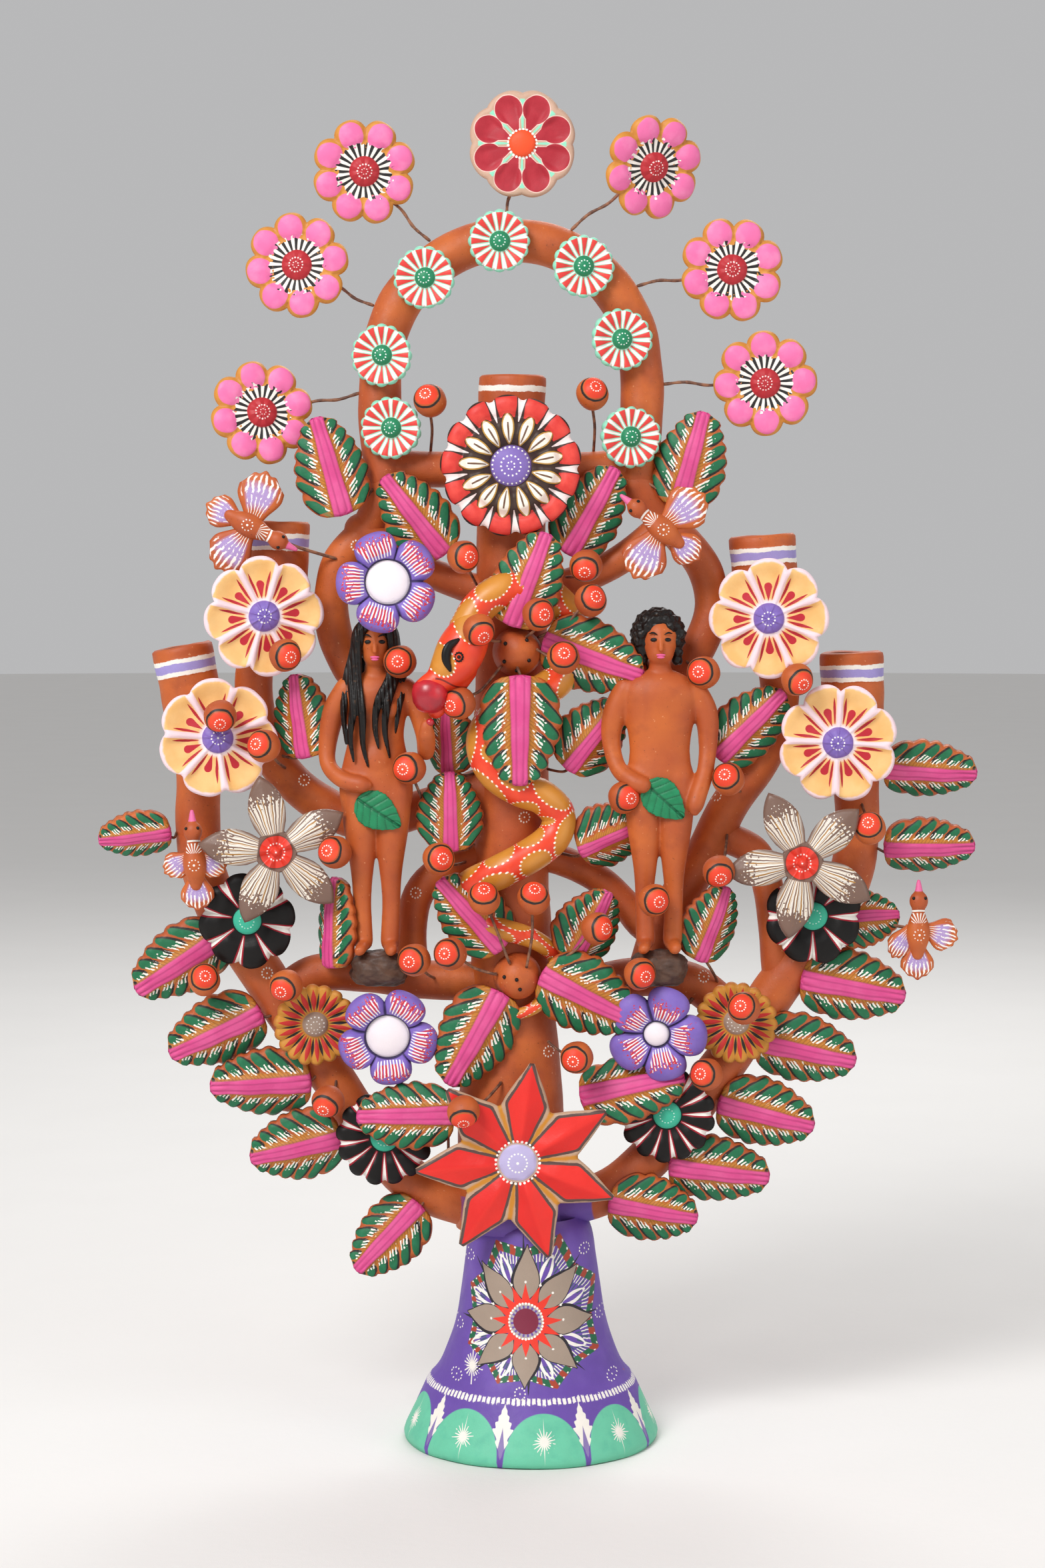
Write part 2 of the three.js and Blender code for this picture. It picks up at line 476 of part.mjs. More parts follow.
// name, place of the leaf's foot, heading in degrees, length, width, wire length
const LEAVES = [
  ['leaf_outer_left', [-163, -9, 275], 171, 31, 22, 2],
  ['leaf_outer_right_high', [160, -8, 303], -3, 39, 25, 2.2],
  ['leaf_outer_right_low', [159.5, -8, 269], 1, 38.5, 25, 2],
];
for (const [name, at, heading, long, wide, wireLong] of LEAVES) {
  const turn = THREE.MathUtils.degToRad(90 - heading);
  addPiece(name, leaf(long, wide, wireLong), 'leaf', at, [0, turn, 0]);
}

export default tree;
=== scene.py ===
"""A painted clay tree of life: a terracotta candelabra tree with a bell foot, two figures, a serpent,
and flowers, leaves, berries and birds on iron wires. Sizes are millimetres until a piece is placed."""

import math

import bmesh
import bpy
from mathutils import Matrix, Vector, noise


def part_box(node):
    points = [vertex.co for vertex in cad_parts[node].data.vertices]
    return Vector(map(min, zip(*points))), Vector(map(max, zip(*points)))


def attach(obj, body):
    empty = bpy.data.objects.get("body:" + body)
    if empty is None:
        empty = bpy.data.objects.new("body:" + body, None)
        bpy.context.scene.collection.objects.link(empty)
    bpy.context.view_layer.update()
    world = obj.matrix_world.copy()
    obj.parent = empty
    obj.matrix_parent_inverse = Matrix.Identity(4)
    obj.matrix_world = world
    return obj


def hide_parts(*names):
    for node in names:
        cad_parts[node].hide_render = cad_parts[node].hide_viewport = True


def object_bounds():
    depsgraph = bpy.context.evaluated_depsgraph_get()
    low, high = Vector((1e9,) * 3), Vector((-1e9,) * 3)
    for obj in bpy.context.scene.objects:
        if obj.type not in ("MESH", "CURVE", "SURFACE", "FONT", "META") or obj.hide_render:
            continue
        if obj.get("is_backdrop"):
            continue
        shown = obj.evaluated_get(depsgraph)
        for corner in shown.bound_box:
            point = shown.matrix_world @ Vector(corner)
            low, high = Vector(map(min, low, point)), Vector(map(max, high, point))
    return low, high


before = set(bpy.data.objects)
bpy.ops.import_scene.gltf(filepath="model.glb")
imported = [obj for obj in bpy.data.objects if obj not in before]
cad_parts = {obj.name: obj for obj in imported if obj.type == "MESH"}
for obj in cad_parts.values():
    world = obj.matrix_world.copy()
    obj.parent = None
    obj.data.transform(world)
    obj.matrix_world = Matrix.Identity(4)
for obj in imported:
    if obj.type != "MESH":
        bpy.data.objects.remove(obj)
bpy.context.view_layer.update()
scene = bpy.context.scene

# ---- camera, floor and light ----
# A pale studio floor under a large soft lamp that hangs in front, above and a little to the left,
# with a weaker lamp on the right and a pale room around.
camera = bpy.data.objects.new("camera", bpy.data.cameras.new("camera"))
scene.collection.objects.link(camera)
camera.data.sensor_width, camera.data.lens = 36, 71.9
camera.location = (-0.0039, -1.410, 0.404)
camera.rotation_euler = (math.radians(90 - 4.27), 0, 0)
scene.camera = camera


def lamp(name, place, aim, size, watts):
    """A square soft lamp at a place in metres, turned towards another."""
    light = bpy.data.objects.new(name, bpy.data.lights.new(name, "AREA"))
    light.data.shape, light.data.size, light.data.energy = "SQUARE", size, watts
    light.location = place
    light.rotation_euler = (Vector(aim) - Vector(place)).to_track_quat("-Z", "Y").to_euler()
    scene.collection.objects.link(light)


lamp("key_lamp", (-0.9, -1.4, 1.6), (0, 0, 0.32), 0.8, 34)
lamp("side_lamp", (1.5, -1.1, 0.8), (0, 0, 0.3), 1.0, 6)
lamp("back_lamp", (0.3, 1.3, 1.4), (0, 0, 0.3), 1.0, 12)
room = bpy.data.worlds.new("room")
scene.world = room
room.use_nodes = True
room.node_tree.nodes["Background"].inputs["Color"].default_value = (0.86, 0.86, 0.87, 1)
room.node_tree.nodes["Background"].inputs["Strength"].default_value = 0.56
scene.view_settings.view_transform = "Standard"


class Value:
    """A number, vector or colour in a material. Sums on it add Math nodes."""

    def __init__(self, paint, socket):
        self.paint, self.socket = paint, socket

    def math(self, operation, *others):
        return self.paint.node("ShaderNodeMath", {"operation": operation}, dict(enumerate((self, *others))))

    def __add__(self, other):
        return self.math("ADD", other)

    def __sub__(self, other):
        return self.math("SUBTRACT", other)

    def __rsub__(self, other):
        return self.math("MULTIPLY_ADD", -1, other)

    def __mul__(self, other):
        return self.math("MULTIPLY", other)

    def __truediv__(self, other):
        return self.math("DIVIDE", other)

    def __rtruediv__(self, other):
        return self.math("POWER", -1) * other

    def __pow__(self, other):
        return self.math("POWER", other)

    def __abs__(self):
        return self.math("ABSOLUTE")

    def __neg__(self):
        return self.math("MULTIPLY", -1)

    __radd__, __rmul__ = __add__, __mul__

    def least(self, other):
        return self.math("MINIMUM", other)

    def most(self, other):
        return self.math("MAXIMUM", other)

    def sine(self):
        return self.math("SINE")

    def floor(self):
        return self.math("FLOOR")

    def far(self, other):
        """The distance to a place this far along and that far across."""
        return (self * self + other * other).math("SQRT")

    def parts(self, count):
        """Where an angle lies in the nearest of some equal parts of a ring, from -0.5 to 0.5."""
        return (self * (count / 2 / math.pi) + 8).saw()

    def saw(self):
        """The part after the whole number, moved to run from -0.5 to 0.5."""
        return self.math("FRACT") - 0.5

    def clear(self, low, high):
        """0 below low, 1 above high, and an even slope between."""
        inputs = {0: self, 1: low, 2: high, 3: 0.0, 4: 1.0}
        return self.paint.node("ShaderNodeMapRange", {"clamp": True}, inputs)

    def inside(self, soft=0.16):
        """1 where a distance to an edge is below zero, with a brush's soft edge, in millimetres."""
        return self.clear(soft / 2, -soft / 2)


def linear(code):
    """A paint colour written as six hex digits, as the shader's linear light."""
    parts = [int(code[i:i + 2], 16) / 255 for i in (0, 2, 4)]
    return (*[p / 12.92 if p < 0.04045 else ((p + 0.055) / 1.055) ** 2.4 for p in parts], 1)


class Paint:
    """One material: a ground colour, then coats of paint laid over it one after another."""

    def __init__(self, name, ground, rough=0.6, coat=0.0, metal=0.0, shine=0.5):
        self.material = bpy.data.materials.new(name)
        self.material.use_nodes = True
        self.tree = self.material.node_tree
        self.shader = self.tree.nodes["Principled BSDF"]
        self.shader.inputs["Coat Weight"].default_value = coat
        self.shader.inputs["Coat Roughness"].default_value = 0.35
        self.shader.inputs["Metallic"].default_value = metal
        self.shader.inputs["Specular IOR Level"].default_value = shine
        self.rough, self.colour, self.height = rough, linear(ground), None
        self.place = self.node("ShaderNodeTexCoord", {}, {}, "Object")
        flat = self.node("ShaderNodeAttribute", {"attribute_name": "flat"}, {}, "Vector")
        self.x, self.y, self.z = (self.node("ShaderNodeSeparateXYZ", {}, {0: flat}, axis) for axis in "XYZ")

    def node(self, kind, settings, inputs, output=0):
        """Adds a node: its settings first, then the values or links of its sockets."""
        node = self.tree.nodes.new(kind)
        for key, value in settings.items():
            setattr(node, key, value)
        for key, value in inputs.items():
            if isinstance(value, Value):
                self.tree.links.new(value.socket, node.inputs[key])
            else:
                node.inputs[key].default_value = value
        return Value(self, node.outputs[output])

    def mix(self, share, one, other):
        return self.node("ShaderNodeMix", {"data_type": "RGBA"}, {0: share, 6: one, 7: other}, 2)

    def noise(self, size, detail=2.0):
        """Cloudy noise between about 0.3 and 0.7, with lumps of a size in millimetres."""
        inputs = {"Vector": self.place, "Scale": 1000 / size, "Detail": detail}
        return self.node("ShaderNodeTexNoise", {}, inputs)

    def wobble(self, amount, size):
        """Moves the flat pattern about by some millimetres, as a hand-held brush does."""
        cloud = self.node("ShaderNodeTexNoise", {}, {"Vector": self.place, "Scale": 1000 / size}, "Color")
        shift = [self.node("ShaderNodeSeparateXYZ", {}, {0: cloud}, axis) for axis in "XY"]
        self.x = self.x + (shift[0] - 0.5) * amount * 2
        self.y = self.y + (shift[1] - 0.5) * amount * 2

    def lay(self, mask, code):
        """A coat of one colour wherever the mask is 1."""
        self.colour = self.mix(mask, self.colour, linear(code) if isinstance(code, str) else code)

    def raised(self, mask, share=0.5):
        """Paint that stands proud of the clay."""
        self.height = mask * share if self.height is None else self.height.most(mask * share)

    def polar(self, count=1, turn=0.0):
        """The distance from the middle, and how far along and across the nearest of some equal petals."""
        reach = self.x.far(self.y)
        angle = self.y.math("ARCTAN2", self.x)
        step = 2 * math.pi / count
        off = (angle / step + (8.5 - turn / step)).saw() * step
        return reach, reach * off.math("COSINE"), reach * off.sine()

    def dots(self, reach, count, radius, size):
        """A ring of dabs: radius of the ring and of one dab in millimetres."""
        angle = self.y.math("ARCTAN2", self.x)
        side = angle.parts(count) * (2 * math.pi * radius / count)
        out = reach - radius
        lumpy = self.noise(size * 3) * size * 1.2 + size * 0.4
        return side.far(out) - lumpy

    def finish(self, fade=0.12, grain=0.25, brushed=6.0):
        """Uneven tone, a fine matt grain and the last links to the shader."""
        tone = 1 + (self.noise(brushed, 4) - 0.5) * fade * 2 + (self.noise(0.5, 3) - 0.5) * fade
        toned = self.node("ShaderNodeHueSaturation", {}, {"Value": tone, "Color": self.colour})
        self.tree.links.new(toned.socket, self.shader.inputs["Base Color"])
        rough = self.rough + (self.noise(3, 3) - 0.5) * 0.3
        self.tree.links.new(rough.socket, self.shader.inputs["Roughness"])
        lumps = self.noise(0.7, 3) * grain + self.noise(5, 2) * grain * 2
        height = lumps if self.height is None else lumps + self.height
        bump = self.node("ShaderNodeBump", {}, {"Height": height, "Distance": 0.0004, "Strength": 0.6})
        self.tree.links.new(bump.socket, self.shader.inputs["Normal"])
        return self.material


MM = 0.001


def piece(bm, name, material, stands_for=(), body="root", stage=False):
    """Turns a bmesh in millimetres into a finished, smooth, riding piece."""
    bmesh.ops.recalc_face_normals(bm, faces=bm.faces)
    bmesh.ops.scale(bm, vec=(MM, MM, MM), verts=bm.verts)
    mesh = bpy.data.meshes.new(name)
    bm.to_mesh(mesh)
    bm.free()
    mesh.shade_smooth()
    mesh.materials.append(material)
    made = bpy.data.objects.new(name, mesh)
    scene.collection.objects.link(made)
    if stage:
        made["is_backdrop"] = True
        return
    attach(made, body)
    if stands_for:
        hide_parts(*stands_for)


floor_paint = Paint("studio_floor", "e9e7e4", rough=0.8)
floor_mesh = bmesh.new()
bmesh.ops.create_circle(floor_mesh, cap_ends=True, segments=96, radius=9000)
piece(floor_mesh, "studio_floor", floor_paint.finish(fade=0.02, brushed=90), stage=True)

# ---- the clay ----
# Low-fired red clay, rolled and pinched by hand, rubbed smooth with a wet cloth and left bare:
# warm orange where it is rubbed, browner in the hollows, with grit, small pits and smoke marks.


def clay_paint(name):
    """Bare terracotta, for a paint to be laid on."""
    clay = Paint(name, "b05022", rough=0.56)
    clay.lay(clay.noise(28, 4).clear(0.42, 0.66), "c56327")
    clay.lay(clay.noise(11, 5).clear(0.55, 0.75) * 0.55, "9a431d")
    clay.lay(clay.noise(1.1, 2).clear(0.69, 0.74) * 0.6, "6e3218")
    clay.lay(clay.noise(1.7, 2).clear(0.71, 0.75) * 0.5, "e2a070")
    return clay


# the purple of the bell is carried up over the foot of the trunk to a wavy edge
PURPLE_TOP, PURPLE_REACH = 108, 31
terracotta = clay_paint("terracotta")
spot_x, spot_y, spot_z = (
    terracotta.node("ShaderNodeSeparateXYZ", {}, {0: terracotta.place}, axis) * 1000 for axis in "XYZ")
from_axis = (spot_x + 2).far(spot_y)
purple_edge = (spot_z - PURPLE_TOP - terracotta.noise(16) * 7).most(from_axis - PURPLE_REACH)
terracotta.lay(purple_edge.inside(0.8), "6a4aa3")
terracotta = terracotta.finish(fade=0.1, grain=0.35, brushed=4)


def smooth_path(points, count):
    """Evenly spaced points on the curve that passes through the given ones."""
    points = [Vector(p) for p in points]
    ends = [2 * points[0] - points[1], *points, 2 * points[-1] - points[-2]]
    fine = []
    for a, b, c, d in zip(ends, ends[1:], ends[2:], ends[3:]):
        for step in range(16):
            t = step / 16
            fine.append(0.5 * (2 * b + (c - a) * t + (2 * a - 5 * b + 4 * c - d) * t * t
                               + (3 * b - a - 3 * c + d) * t ** 3))
    fine.append(points[-1])
    run = [0.0]
    for one, other in zip(fine, fine[1:]):
        run.append(run[-1] + (other - one).length)
    even, at = [], 0
    for step in range(count):
        goal = run[-1] * step / (count - 1)
        while at < len(fine) - 2 and run[at + 1] < goal:
            at += 1
        share = (goal - run[at]) / max(run[at + 1] - run[at], 1e-6)
        even.append(fine[at].lerp(fine[at + 1], min(share, 1)))
    return even


def rod(bm, points, radius, sides=20, rings=40, start=1.0, end=1.0, flatten=1.0):
    """A rolled bar through some points. radius is a number or a function of 0 to 1; start and end say how
    round its ends are. flat holds the length so far and the way round as a cosine and a sine."""
    flat = bm.verts.layers.float_vector.get("flat") or bm.verts.layers.float_vector.new("flat")
    thick = radius if callable(radius) else lambda t: radius
    path = smooth_path(points, rings)
    run = (path[1] - path[0]).length
    stations = []
    for i, middle in enumerate(path):
        ahead = (path[min(i + 1, rings - 1)] - path[max(i - 1, 0)]).normalized()
        stations.append((middle, ahead, thick(i / (rings - 1)), i * run))
    domes = [math.radians(a) for a in (30, 55, 75, 88)]
    middle, ahead, r, s = stations[0]
    stations = [(middle - ahead * r * start * math.sin(a), ahead, r * math.cos(a), s)
                for a in domes[::-1]] + stations
    middle, ahead, r, s = stations[-1]
    stations += [(middle + ahead * r * end * math.sin(a), ahead, r * math.cos(a), s) for a in domes]
    side = stations[0][1].orthogonal().normalized()
    ring = bmesh.ops.create_circle(bm, segments=sides, radius=1)["verts"]
    edges = list({e for v in ring for e in v.link_edges})
    made, before = list(ring), None
    for middle, ahead, r, s in stations:
        side = (side - ahead * side.dot(ahead)).normalized()
        up = ahead.cross(side)
        frame_of = Matrix((side, up * flatten, ahead)).transposed().to_4x4()
        spot = Matrix.Translation(middle) @ frame_of @ Matrix.Diagonal((r, r, r, 1))
        if before is not None:
            grown = bmesh.ops.extrude_edge_only(bm, edges=edges)["geom"]
            ring = [g for g in grown if isinstance(g, bmesh.types.BMVert)]
            fresh = set(ring)
            edges = [g for g in grown if isinstance(g, bmesh.types.BMEdge) and set(g.verts) <= fresh]
            made += ring
        bmesh.ops.transform(bm, matrix=spot @ before if before else spot, verts=ring)
        before = spot.inverted()
        for v in ring:
            local = before @ v.co
            v[flat] = (s, local.x, local.y)
    open_edges = list({e for v in made for e in v.link_edges if e.is_boundary})
    bmesh.ops.holes_fill(bm, edges=open_edges, sides=sides)
    return made


def turned(bm, profile, steps=64, turn=2 * math.pi):
    """A shape thrown on the wheel from (radius, height) points."""
    verts = [bm.verts.new((r, 0, z)) for r, z in profile]
    edges = [bm.edges.new(pair) for pair in zip(verts, verts[1:])]
    made = bmesh.ops.spin(bm, geom=verts + edges, cent=(0, 0, 0), axis=(0, 0, 1), angle=turn, steps=steps,
                          use_merge=True)
    bmesh.ops.remove_doubles(bm, verts=bm.verts, dist=0.001)
    return made


def pinched(bm, size=0.35, lumps=18.0):
    """Small dents and swellings left by the fingers."""
    bm.normal_update()
    for v in bm.verts:
        v.co += v.normal * noise.noise(v.co / lumps) * size


# ---- the bell foot ----
# A hollow bell thrown in red clay and painted: a purple ground with one great eight-petalled star in
# front, fans of hair strokes with a beaded edge between its petals, a fringe of white dabs round the
# shoulder, and turquoise scallops below.
BELL_OUTSIDE = [(57.6, 0.6), (58, 2.5), (57.4, 5), (53.4, 14), (49.4, 22.5), (46.8, 27.5), (43.6, 31),
                (41, 35), (38.6, 41), (35.6, 50), (33.2, 60), (31.2, 72), (29.8, 84), (28.6, 93),
                (26.5, 99), (22, 102.5)]
BELL_INSIDE = [(14, 99), (22, 90), (25, 74), (29, 55), (35, 36), (43, 20), (50.5, 4), (54.5, 0.6), (56, 0)]
STAR_X, STAR_Z = -2.4, 60.5
FRINGE_Z, PAINTED_FROM_Z = 27.4, 29.5
BURST_AROUND, BURST_Z = -29, 39.5

bell_mesh = bmesh.new()
outside = smooth_path([(r, 0, z) for r, z in BELL_OUTSIDE], 48)
inside = smooth_path([(r, 0, z) for r, z in BELL_INSIDE], 22)
turned(bell_mesh, [(p.x, p.z) for p in [*inside, *outside]], 112)
bell_flat = bell_mesh.verts.layers.float_vector.new("flat")
for v in bell_mesh.verts:
    v[bell_flat] = (v.co.x, v.co.z, v.co.y)
pinched(bell_mesh, 0.5, 22)

bell = clay_paint("painted_bell")
across, height, depth = bell.x, bell.y, bell.z
bell.wobble(0.5, 9)
girth = across.far(depth)
around = across.math("ARCTAN2", -depth)
bell.lay(bell.noise(6, 3).clear(0.24, 0.27), "6546a0")
bell.lay(bell.noise(14, 3).clear(0.45, 0.7) * 0.5, "7657b0")


def rays_from(x, y, count):
    """How far out a place is from a middle, and how far aside it is from the nearest of some rays."""
    out = x.far(y)
    return out, y.math("ARCTAN2", x).parts(count) * out * (2 * math.pi / count)


# scallops, each with a burst of fine white rays, and a white feather where two meet
SCALLOPS, SCALLOP_TURN = 9, math.radians(6)
SCALLOP_HALF_WIDTH, SCALLOP_TALL, RAYS = 19.0, 23.4, 18
pitch = 2 * math.pi / SCALLOPS
off = (around / pitch + (8.5 - SCALLOP_TURN / pitch)).saw() * pitch * girth
scallop = (abs(off) / SCALLOP_HALF_WIDTH) ** 2 + ((height + 0.5).most(0) / SCALLOP_TALL) ** 2 - 1
bell.lay((scallop * 9).inside(0.35), "67c3a0")
bell.lay((scallop * 9).inside(0.35) * bell.noise(7, 4).clear(0.5, 0.75) * 0.6, "4faf93")
bell.raised(scallop.inside(0.1), 0.25)
burst_y = height - 11.6
burst, rays = rays_from(off, burst_y, RAYS)
bell.lay((abs(rays) - 0.34 * (1.2 - burst * 0.15)).most(burst - 1.6 - bell.noise(2, 0) * 6).inside(0.16),
         "efe9df")
bell.lay((abs(off) - 0.36 * (1 - abs(burst_y) / 9)).least(burst - 1.4).inside(0.15), "efe9df")
gap = (around / pitch + (9.0 - SCALLOP_TURN / pitch)).saw() * pitch * girth
notch = (height * 1.7 - abs(gap) * 1.5).sine()
half = ((26.5 - height) * 0.42).math("SMOOTH_MIN", (height - 4) * 0.36, 1.5)
feather = abs(gap) - half * (1 + notch * 0.16)
slit = abs(gap) - (17 - height) * 0.18
bell.lay(feather.inside(0.2) * (1 - slit.inside(0.2) * 0.85) * (height - 2).clear(0, 1), "efe9df")

# the fringe of dabs round the shoulder
dabs = abs(around.parts(128)) + bell.noise(1.2) * 0.3
fringe = abs(height - FRINGE_Z + bell.noise(6) * 1.6 - 0.8) - 0.2 - bell.noise(1.2) * 2
bell.lay(fringe.inside(0.4) * dabs.clear(0.52, 0.44), "f2ede4")

# a starburst low on the left
burst_x, burst_y = around * girth - BURST_AROUND, height - BURST_Z
burst, rays = rays_from(burst_x, burst_y, RAYS)
short = (abs(rays) - 0.3).most(burst - 2.2 - bell.noise(1.3, 0) * 5)
bell.lay(short.least((abs(burst_x) - 0.3).most(burst - 7.5)).inside(0.2), "efe9df")


def star_paint(paint, x, y):
    """The great star and its fans, drawn round a middle on the front of the bell."""
    paint.x, paint.y = x, y
    reach, along, side = paint.polar(8, math.pi / 2)
    long = 33.5
    share = ((along - 9) / (long - 9)).clear(0, 1)
    waist = 6.3 * (share ** 0.8 * math.pi).sine().most(0) * (1.16 - share * 0.62)
    petal = (abs(side + share * 0.6) - waist).most(9 - along).most(along - long)
    _, gap_along, gap_side = paint.polar(8, math.pi / 8)
    far = ((gap_along - 16) / 16).clear(0, 1)
    lens = 2.6 * (far * math.pi).sine().most(0)
    fan_out = (gap_along - 15).far(gap_side)
    fan_turn = gap_side.math("ARCTAN2", gap_along - 15)
    hand = paint.noise(1.6) * 3
    border = gap_along + abs(gap_side) * 0.8 - 36.5 - paint.x * 0.1 - paint.y * 0.05
    green_hairs = (fan_turn * 7 + hand * 0.1).saw() * fan_out / 7
    paint.lay((abs(green_hairs) - 0.34).most(border + 5).most(-11 - border - hand).inside(0.4) * 0.8,
              "1c5547")
    comb = (fan_turn * 9.4 + hand * 0.1).saw() * fan_out / 9.4
    paint.lay((abs(comb) - 0.26).most(border + 3 + hand * 0.3).most(-7 - border - hand).inside(0.2),
              "efe9df")
    edge = (abs(border + 1.4) - 1.9 - hand * 0.35).most(abs(fan_turn) - 1.2)
    tufts = fan_turn * 2.9 + hand * 0.05
    paint.lay(edge.most((abs(tufts.saw()) - 0.29) * fan_out * 0.34).inside(0.4), "12623f")
    paint.lay(edge.most((abs((tufts + 0.5).saw()) - 0.22) * fan_out * 0.34).inside(0.4), "a63c22")
    bead = (fan_turn * 5.8).saw() * fan_out / 5.8
    bead = bead.far(border - 0.2) - 0.5
    paint.lay(bead.most(abs(fan_turn) - 1.2).inside(0.15), "f2ede4")
    thread = (abs(gap_side) - 0.42 * (gap_along / 20)).most(8 - gap_along).most(gap_along - 20)
    shell = (abs(gap_side) - lens).most(0.3 - lens)
    hollow = (abs(gap_side) - lens * 0.42).most(1.1 - lens)
    paint.lay(thread.least(shell).inside(0.2) * (1 - hollow.inside(0.2)), "f2ede4")
    tail = (abs(side - 1.1) - (39 - along) * 0.075).most(along - 38.5).most(26 - along)
    paint.lay((petal - 0.45 - (side - 1.2).clear(-1, 3) * 0.9).least(tail).inside(0.15), "1c1620")
    paint.lay(petal.inside(0.15), "a08d7d")
    _, small_along, small_side = paint.polar(16, math.pi / 2)
    tip = 16.5
    ray = (abs(small_side) - (tip - small_along) * 0.26).most(small_along - tip)
    paint.lay(ray.least(reach - 9.5).inside(0.15), "e8341f")
    dot = (small_along - tip - 0.6).far(small_side) - 0.55
    paint.lay(dot.inside(0.15), "f2ede4")
    paint.lay((reach - 7.9).inside(0.15), "b5a294")
    paint.lay((reach - 6.9).inside(0.15), "6a4d9c")
    ticks = abs(paint.y.math("ARCTAN2", paint.x).parts(20))
    paint.lay((reach - 7.0).inside(0.15) * ticks.clear(0.2, 0.26), "a9a0a6")
    paint.lay(paint.dots(reach, 34, 7.7, 0.5).inside(0.12), "f7f3ea")
    paint.lay((reach - 5.7).inside(0.15), "7b1c38")


# the star lies on the curved wall, so its width is measured round the bell; its lower petals are shorter,
# and nothing of it is painted under the fringe
star_round = (across - STAR_X).math("ARCTAN2", -depth) * girth
front = (-depth).clear(-2, 2)
under = bell.colour
star_up = height - STAR_Z
star_up = star_up + (star_up + 12).least(0) * 0.36
star_paint(bell, star_round + (bell.x - across), star_up + (bell.y - height))
bell.colour = bell.mix(front * (height - PAINTED_FROM_Z).clear(0, 1), under, bell.colour)
piece(bell_mesh, "bell_foot", bell.finish(fade=0.08), ["base_bell"])

# ---- the trunk and its struts ----
# A thick coil of clay stood on the bell, with round knobs pressed on for the wires, and short struts that
# tie it to the bars on each side.
TRUNK_X = -9
TRUNK = [(25, 97), (24.6, 101), (24.2, 110), (24.4, 130), (23.6, 155), (20.6, 185), (18.4, 215),
         (17.6, 240), (17, 280), (16.6, 320), (16, 360), (15.6, 400), (15.2, 430), (14.6, 450)]
KNOBS = {  # height of a knob, and where its wire holes are: right and up
    359: [(-11.5, 363), (-2, 364.5), (-12, 355), (-1, 355.5), (-6.5, 351)],
    214: [(-6.5, 214), (-5, 209.5), (-12, 215)],
}


def clay_bar(name, runs, rings):
    """One named bar of bare clay made of one or more runs of (points, radius)."""
    bm = bmesh.new()
    for points, radius in runs:
        rod(bm, points, radius, sides=26, rings=rings)
    pinched(bm, 0.7, 17)
    piece(bm, name, terracotta, [name])


def swelling(thick, foot=1.35, head=1.0, reach=0.14):
    """The radius of a bar that is smeared wider where it joins."""
    def at(t):
        low = max(0, 1 - t / reach)
        high = max(0, 1 - (1 - t) / reach)
        return thick * (1 + (foot - 1) * low * low + (head - 1) * high * high)
    return at


trunk_mesh = bmesh.new()
trunk_rings = smooth_path([(r, 0, z) for r, z in TRUNK], 60)
turned(trunk_mesh, [(0, 97), *[(p.x, p.z) for p in trunk_rings], (13, 453), (0, 453.5)], 40)
bmesh.ops.translate(trunk_mesh, vec=(TRUNK_X, 0, 0), verts=trunk_mesh.verts)
for knob_z in KNOBS:
    rod(trunk_mesh, [(-7, -8, knob_z), (-6.5, -15, knob_z), (-6, -21, knob_z)],
        lambda t: 9.2 + 1.6 * math.sin(t * 2.2), 26, 10)
STRUTS = {
    "low_left": [(TRUNK_X, 0, 268), (-24, 0, 265), (-40, 0, 260), (-51, 0, 249), (-54, 0, 232),
                 (-54, 0, 212)],
    "low_right": [(TRUNK_X, 0, 270), (12, 0, 265), (29, 0, 257), (42, 0, 245), (50, 0, 236), (58, 0, 231)],
    "head_left": [(TRUNK_X, 0, 382), (-30, 0, 388), (-53, 0, 398), (-76, 0, 413)],
    "head_right": [(TRUNK_X, 0, 384), (14, 0, 388), (38, 0, 399), (62, 0, 416)],
}
for run in STRUTS.values():
    rod(trunk_mesh, run, swelling(6.8, 1.9, 1.15, 0.3), 22, 26)
pinched(trunk_mesh, 0.8, 20)
piece(trunk_mesh, "trunk", terracotta, ["trunk"])

# the holes pricked in the knobs for wires: a black dent on the knob's round front for each, painted shade
# for the dark inside of the hole
black_glaze = Paint("black_paint", "110d0b", rough=0.5, coat=0.05, shine=0.3)
black_glaze = black_glaze.finish(fade=0.3)
holes = bmesh.new()
for knob_z, places in KNOBS.items():
    for hole_x, hole_z in places:
        dent = bmesh.ops.create_uvsphere(holes, u_segments=10, v_segments=6, radius=0.9)["verts"]
        off_middle = math.hypot(hole_x + 6.3, hole_z - knob_z)
        hole_y = -21.2 - math.sqrt(108 - off_middle ** 2)
        bmesh.ops.translate(holes, vec=(hole_x, hole_y, hole_z), verts=dent)
piece(holes, "wire_hole_shade", black_glaze)

# ---- the arch ----
# A hoop of rolled clay on two crossbars, closing the top of the tree above the great flower.
HOOP_Z, HOOP_R, HOOP_BAR = 484, 58, 9.6
hoop = [(TRUNK_X - HOOP_R + 2, 0, 436), (TRUNK_X - HOOP_R - 0.5, 0, 460)]
for degrees in range(180, -1, -20):
    a = math.radians(degrees)
    hoop.append((TRUNK_X + HOOP_R * math.cos(a), 0, HOOP_Z + HOOP_R * math.sin(a)))
hoop += [(TRUNK_X + HOOP_R + 0.5, 0, 460), (TRUNK_X + HOOP_R - 2, 0, 436)]
CROSSBARS = [[(-67, 0, 441), (-35, 0, 440), (TRUNK_X, 0, 441)],
             [(49, 0, 441), (20, 0, 440), (TRUNK_X, 0, 441)]]
clay_bar("arch_hoop", [(hoop, HOOP_BAR), (CROSSBARS[0], 8.2), (CROSSBARS[1], 8.2)], 90)

